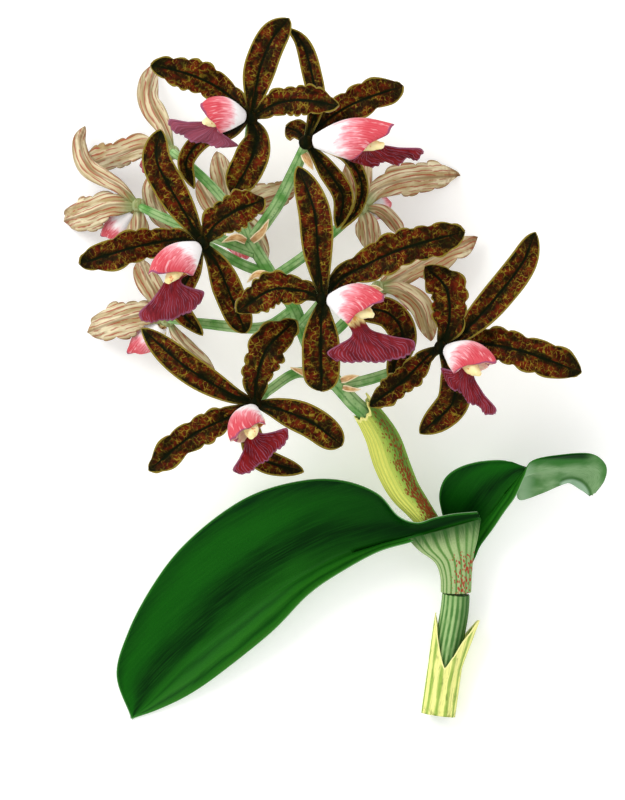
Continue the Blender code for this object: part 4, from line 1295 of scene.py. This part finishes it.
def foot_skin():
    rings = np.array(BASE_RINGS, float)
    line, run = smooth_line(on_plan(rings[:, :3]), FOOT_STEPS[0])
    s, turn = ring_steps(*FOOT_STEPS)
    wide, deep, lean = (soft_mix(list(rings[:, k]), s) for k in (3, 4, 5))
    along = unit(np.concatenate([-lean, 1 + 0 * s, 0.12 + 0 * s], axis=1))
    side, lift = level_frame(along)
    ribs = np.cos(18 * turn)
    swell = 1 + 0.028 * ribs
    grid = line[:, None] + (spread(wide * np.cos(turn) * swell, side[:, None])
                            + spread(deep * np.sin(turn) * swell, lift[:, None])) * MM
    marks = grid_marks(np.cos(turn) * wide, run[:, None] / MM, 30, np.cos(turn), s, 9.0, zone=1.0,
                       rib=ribs)
    marks["place"] = np.concatenate([marks["place"], 0 * marks["place"][..., :1]], axis=-1)
    return round_skin(grid, marks)


print("foot rings:", len(BASE_RINGS))

# %% The big leaf
LEFT_FAR = [(478, 511, 25), (455, 513, 26.5), (435, 517, 27.5), (417, 522, 28.5), (398, 515, 30),
            (378, 493, 31), (345, 480, 31), (307, 479, 29), (259, 491, 26), (219, 514, 22),
            (179, 549, 17), (150, 588, 12), (127, 632, 8), (115, 676, 4), (130, 720, 1.2)]
LEFT_MID = [(480, 515, 24), (455, 521, 25), (432, 528, 24), (405, 537, 21), (378, 545, 18),
            (330, 562, 14), (260, 602, 7), (191, 657, 1.5), (130, 720, 0.65)]
LEFT_NEAR = [(482, 519, 22), (455, 527, 22), (432, 534, 22), (412, 541, 23), (378, 551, 23),
             (338, 573, 21), (307, 595, 19), (271, 632, 15), (219, 674, 9), (187, 696, 5),
             (156, 711, 2.5), (130, 720, 1.2)]
blade = leaf_skin(LEFT_FAR, LEFT_MID, LEFT_NEAR, True, 5.0)
blade[0][:, 2] = np.maximum(blade[0][:, 2], 0.0)
dress("leaf_left", [blade, foot_skin()], leaf_wax)
print("big leaf dressed")

# %% The twisted leaf
RIGHT_FAR = [(457, 553, 10.9), (450, 535, 12), (443, 513, 15), (440, 494, 20), (446, 477, 24),
             (461, 466, 26), (484, 460, 27), (509, 460, 27), (521, 469, 22), (519, 486, 16),
             (521, 499, 12.5), (544, 492, 11), (567, 482, 11.5), (581, 488, 12.5), (592, 495, 14.5)]
RIGHT_MID = [(465, 560, 10.9), (469, 545, 12), (479, 528, 13), (494, 510, 18), (511, 488, 24),
             (527, 474, 27), (558, 467, 25), (588, 464, 22), (603, 474, 18), (594, 494, 14)]
RIGHT_NEAR = [(472, 566, 10.4), (477, 556, 11.4), (482, 545, 12), (494, 528, 17), (505, 511, 23),
              (516, 495, 28), (525, 475, 32), (533, 460, 34), (561, 454, 32), (592, 453, 28),
              (607, 464, 22), (606, 479, 18), (597, 492, 14.5)]
dress("leaf_right", [leaf_skin(RIGHT_FAR, RIGHT_MID, RIGHT_NEAR, False, 50.0)], leaf_wax)
print("twisted leaf dressed")

# %% [markdown]
# ## Bracts
#
# Small dry scales sit where the stalk forks. Each is a bent triangle of tan paper with a pale edge.

# %% The paper of the bracts
bract_paper, shader = new_material("bract_paper", 0.6, shine=0.06)
flat, rim, across, along, side = skin_marks()
streak = streaks(flat, (1.8, 0.4, 1.0), detail=3.0)
tan = two_tone("#c98f56", "#f0cf98", streak, 0.3, 0.7)
tan = tint(tan, "#8c5a34", fade(along, 0.0, 0.4), 0.5)
tan = tint(tan, "#f8e6c0", edge_of(flat, rim, 0.5))
coat(shader, tan, streak, 0.3, 0.0004)
print("material:", bract_paper.name)

# %% Dress the bracts
BRACT_STEPS = (26, 11)
BRACTS = [
    ([(246, 240, 56.7), (236, 236, 56.7), (222, 241, 53.7)], 8),
    ([(252, 240, 58), (262, 231, 59.5), (269, 218, 57)], 8),
    ([(314, 375, 45.6), (304, 371, 46), (290, 366, 45)], 8),
    ([(341, 379, 45.5), (350, 376, 44.5), (359, 374, 43)], 7),
    ([(343, 386, 45.5), (352, 388, 44), (361, 388, 42.5)], 6),
    ([(269, 274, 56.2), (257, 273, 56.6), (247, 281, 55)], 8),
    ([(304, 153, 64.8), (308, 160, 64.4), (313, 169, 62.7)], 9),
    ([(366, 292, 39.4), (373, 287, 37.4), (383, 288, 33.6)], 9),
]


def bract_skin(points, wide, seed):
    line, run = smooth_line(on_plan(points), BRACT_STEPS[0])
    s, v = steps(*BRACT_STEPS)
    along = heading(line)
    up = unit(np.array((0, 0, 1.0)) - along * along[:, 2:])
    side = np.cross(along, up)
    half = wide / 2 * STEP * soft_mix([0.8, 1.0, 0.85, 0.55, 0.08], s)
    cup = 0.25 * half * np.abs(v) ** 1.5
    grid = line[:, None] + spread(v * half, side[:, None]) - spread(cup, up[:, None])
    marks = grid_marks(v * half / MM, run[:, None] / MM, seed, v, s, (1 - np.abs(v)) * half / MM)
    return skin(grid, (0.65 - 0.3 * np.abs(v) ** 3) * MM, marks)


for number, (points, wide) in enumerate(BRACTS, 1):
    dress(f"bract_{number}", [bract_skin(points, wide, number * 5.0)], bract_paper)
print("bracts:", len(BRACTS))

# %% [markdown]
# ## Table, light and camera
#
# The growth lies on a white table that glows a little, like a light table, so its paper stays white.
# A wide soft light from the upper left gives gentle shadows, and the white room fills them. The
# camera looks straight down from far off, so the plan isn't skewed.

# %% The table
WHITE = (1.0, 1.0, 1.0, 1.0)
TABLE_GLOW = 0.16
TABLE_SIZE = 4.0
table_white, shader = new_material("table_white", 0.8)
spot = object_place()
feed(shader.inputs["Base Color"], blend(noise(spot, 6.0, 2.0), paint("#fbfbf8"), paint("#ffffff")))
shader.inputs["Emission Color"].default_value = WHITE
shader.inputs["Emission Strength"].default_value = TABLE_GLOW
corner = TABLE_SIZE / 2
sheet = bpy.data.meshes.new("table_top")
corners = [(x * corner, y * corner, 0) for x, y in ((-1, -1), (1, -1), (1, 1), (-1, 1))]
sheet.from_pydata(corners, [], [(0, 1, 2, 3)])
sheet.materials.append(table_white)
table = bpy.data.objects.new("table_top", sheet)
bpy.context.scene.collection.objects.link(table)
print("table top", TABLE_SIZE, "m")

# %% Light
ROOM_LIGHT = 0.98
WINDOW_SIZE = 1.0
WINDOW_POWER = 17.0
WINDOW_PLACE = (-1.0, 0.9, 1.5)
world = bpy.data.worlds.new("white_room")
bpy.context.scene.world = world
world.use_nodes = True
world.node_tree.nodes["Background"].inputs["Color"].default_value = WHITE
world.node_tree.nodes["Background"].inputs["Strength"].default_value = ROOM_LIGHT
key = bpy.data.lights.new("window", "AREA")
key.size = WINDOW_SIZE
key.energy = WINDOW_POWER
lamp = bpy.data.objects.new("window", key)
lamp.location = WINDOW_PLACE
lamp.rotation_euler = (Vector((0, 0, 0)) - lamp.location).to_track_quat("-Z", "Y").to_euler()
bpy.context.scene.collection.objects.link(lamp)
bpy.context.scene.view_settings.view_transform = "Standard"
print("room and window")

# %% Camera
TO_BLOOMS = 5.0
CAMERA_HEIGHT = TO_BLOOMS + 0.04
VIEW_TALL = 0.3366
VIEW_CENTRE = (-0.00945, -0.0124)
lens = bpy.data.cameras.new("camera")
lens.sensor_fit = "VERTICAL"
lens.sensor_height = 24.0
lens.lens = lens.sensor_height * TO_BLOOMS / VIEW_TALL
lens.clip_end = 20.0
camera = bpy.data.objects.new("camera", lens)
camera.location = (*VIEW_CENTRE, CAMERA_HEIGHT)
bpy.context.scene.collection.objects.link(camera)
bpy.context.scene.camera = camera
print("view", VIEW_TALL * 1000, "mm tall at the middle of the blooms")
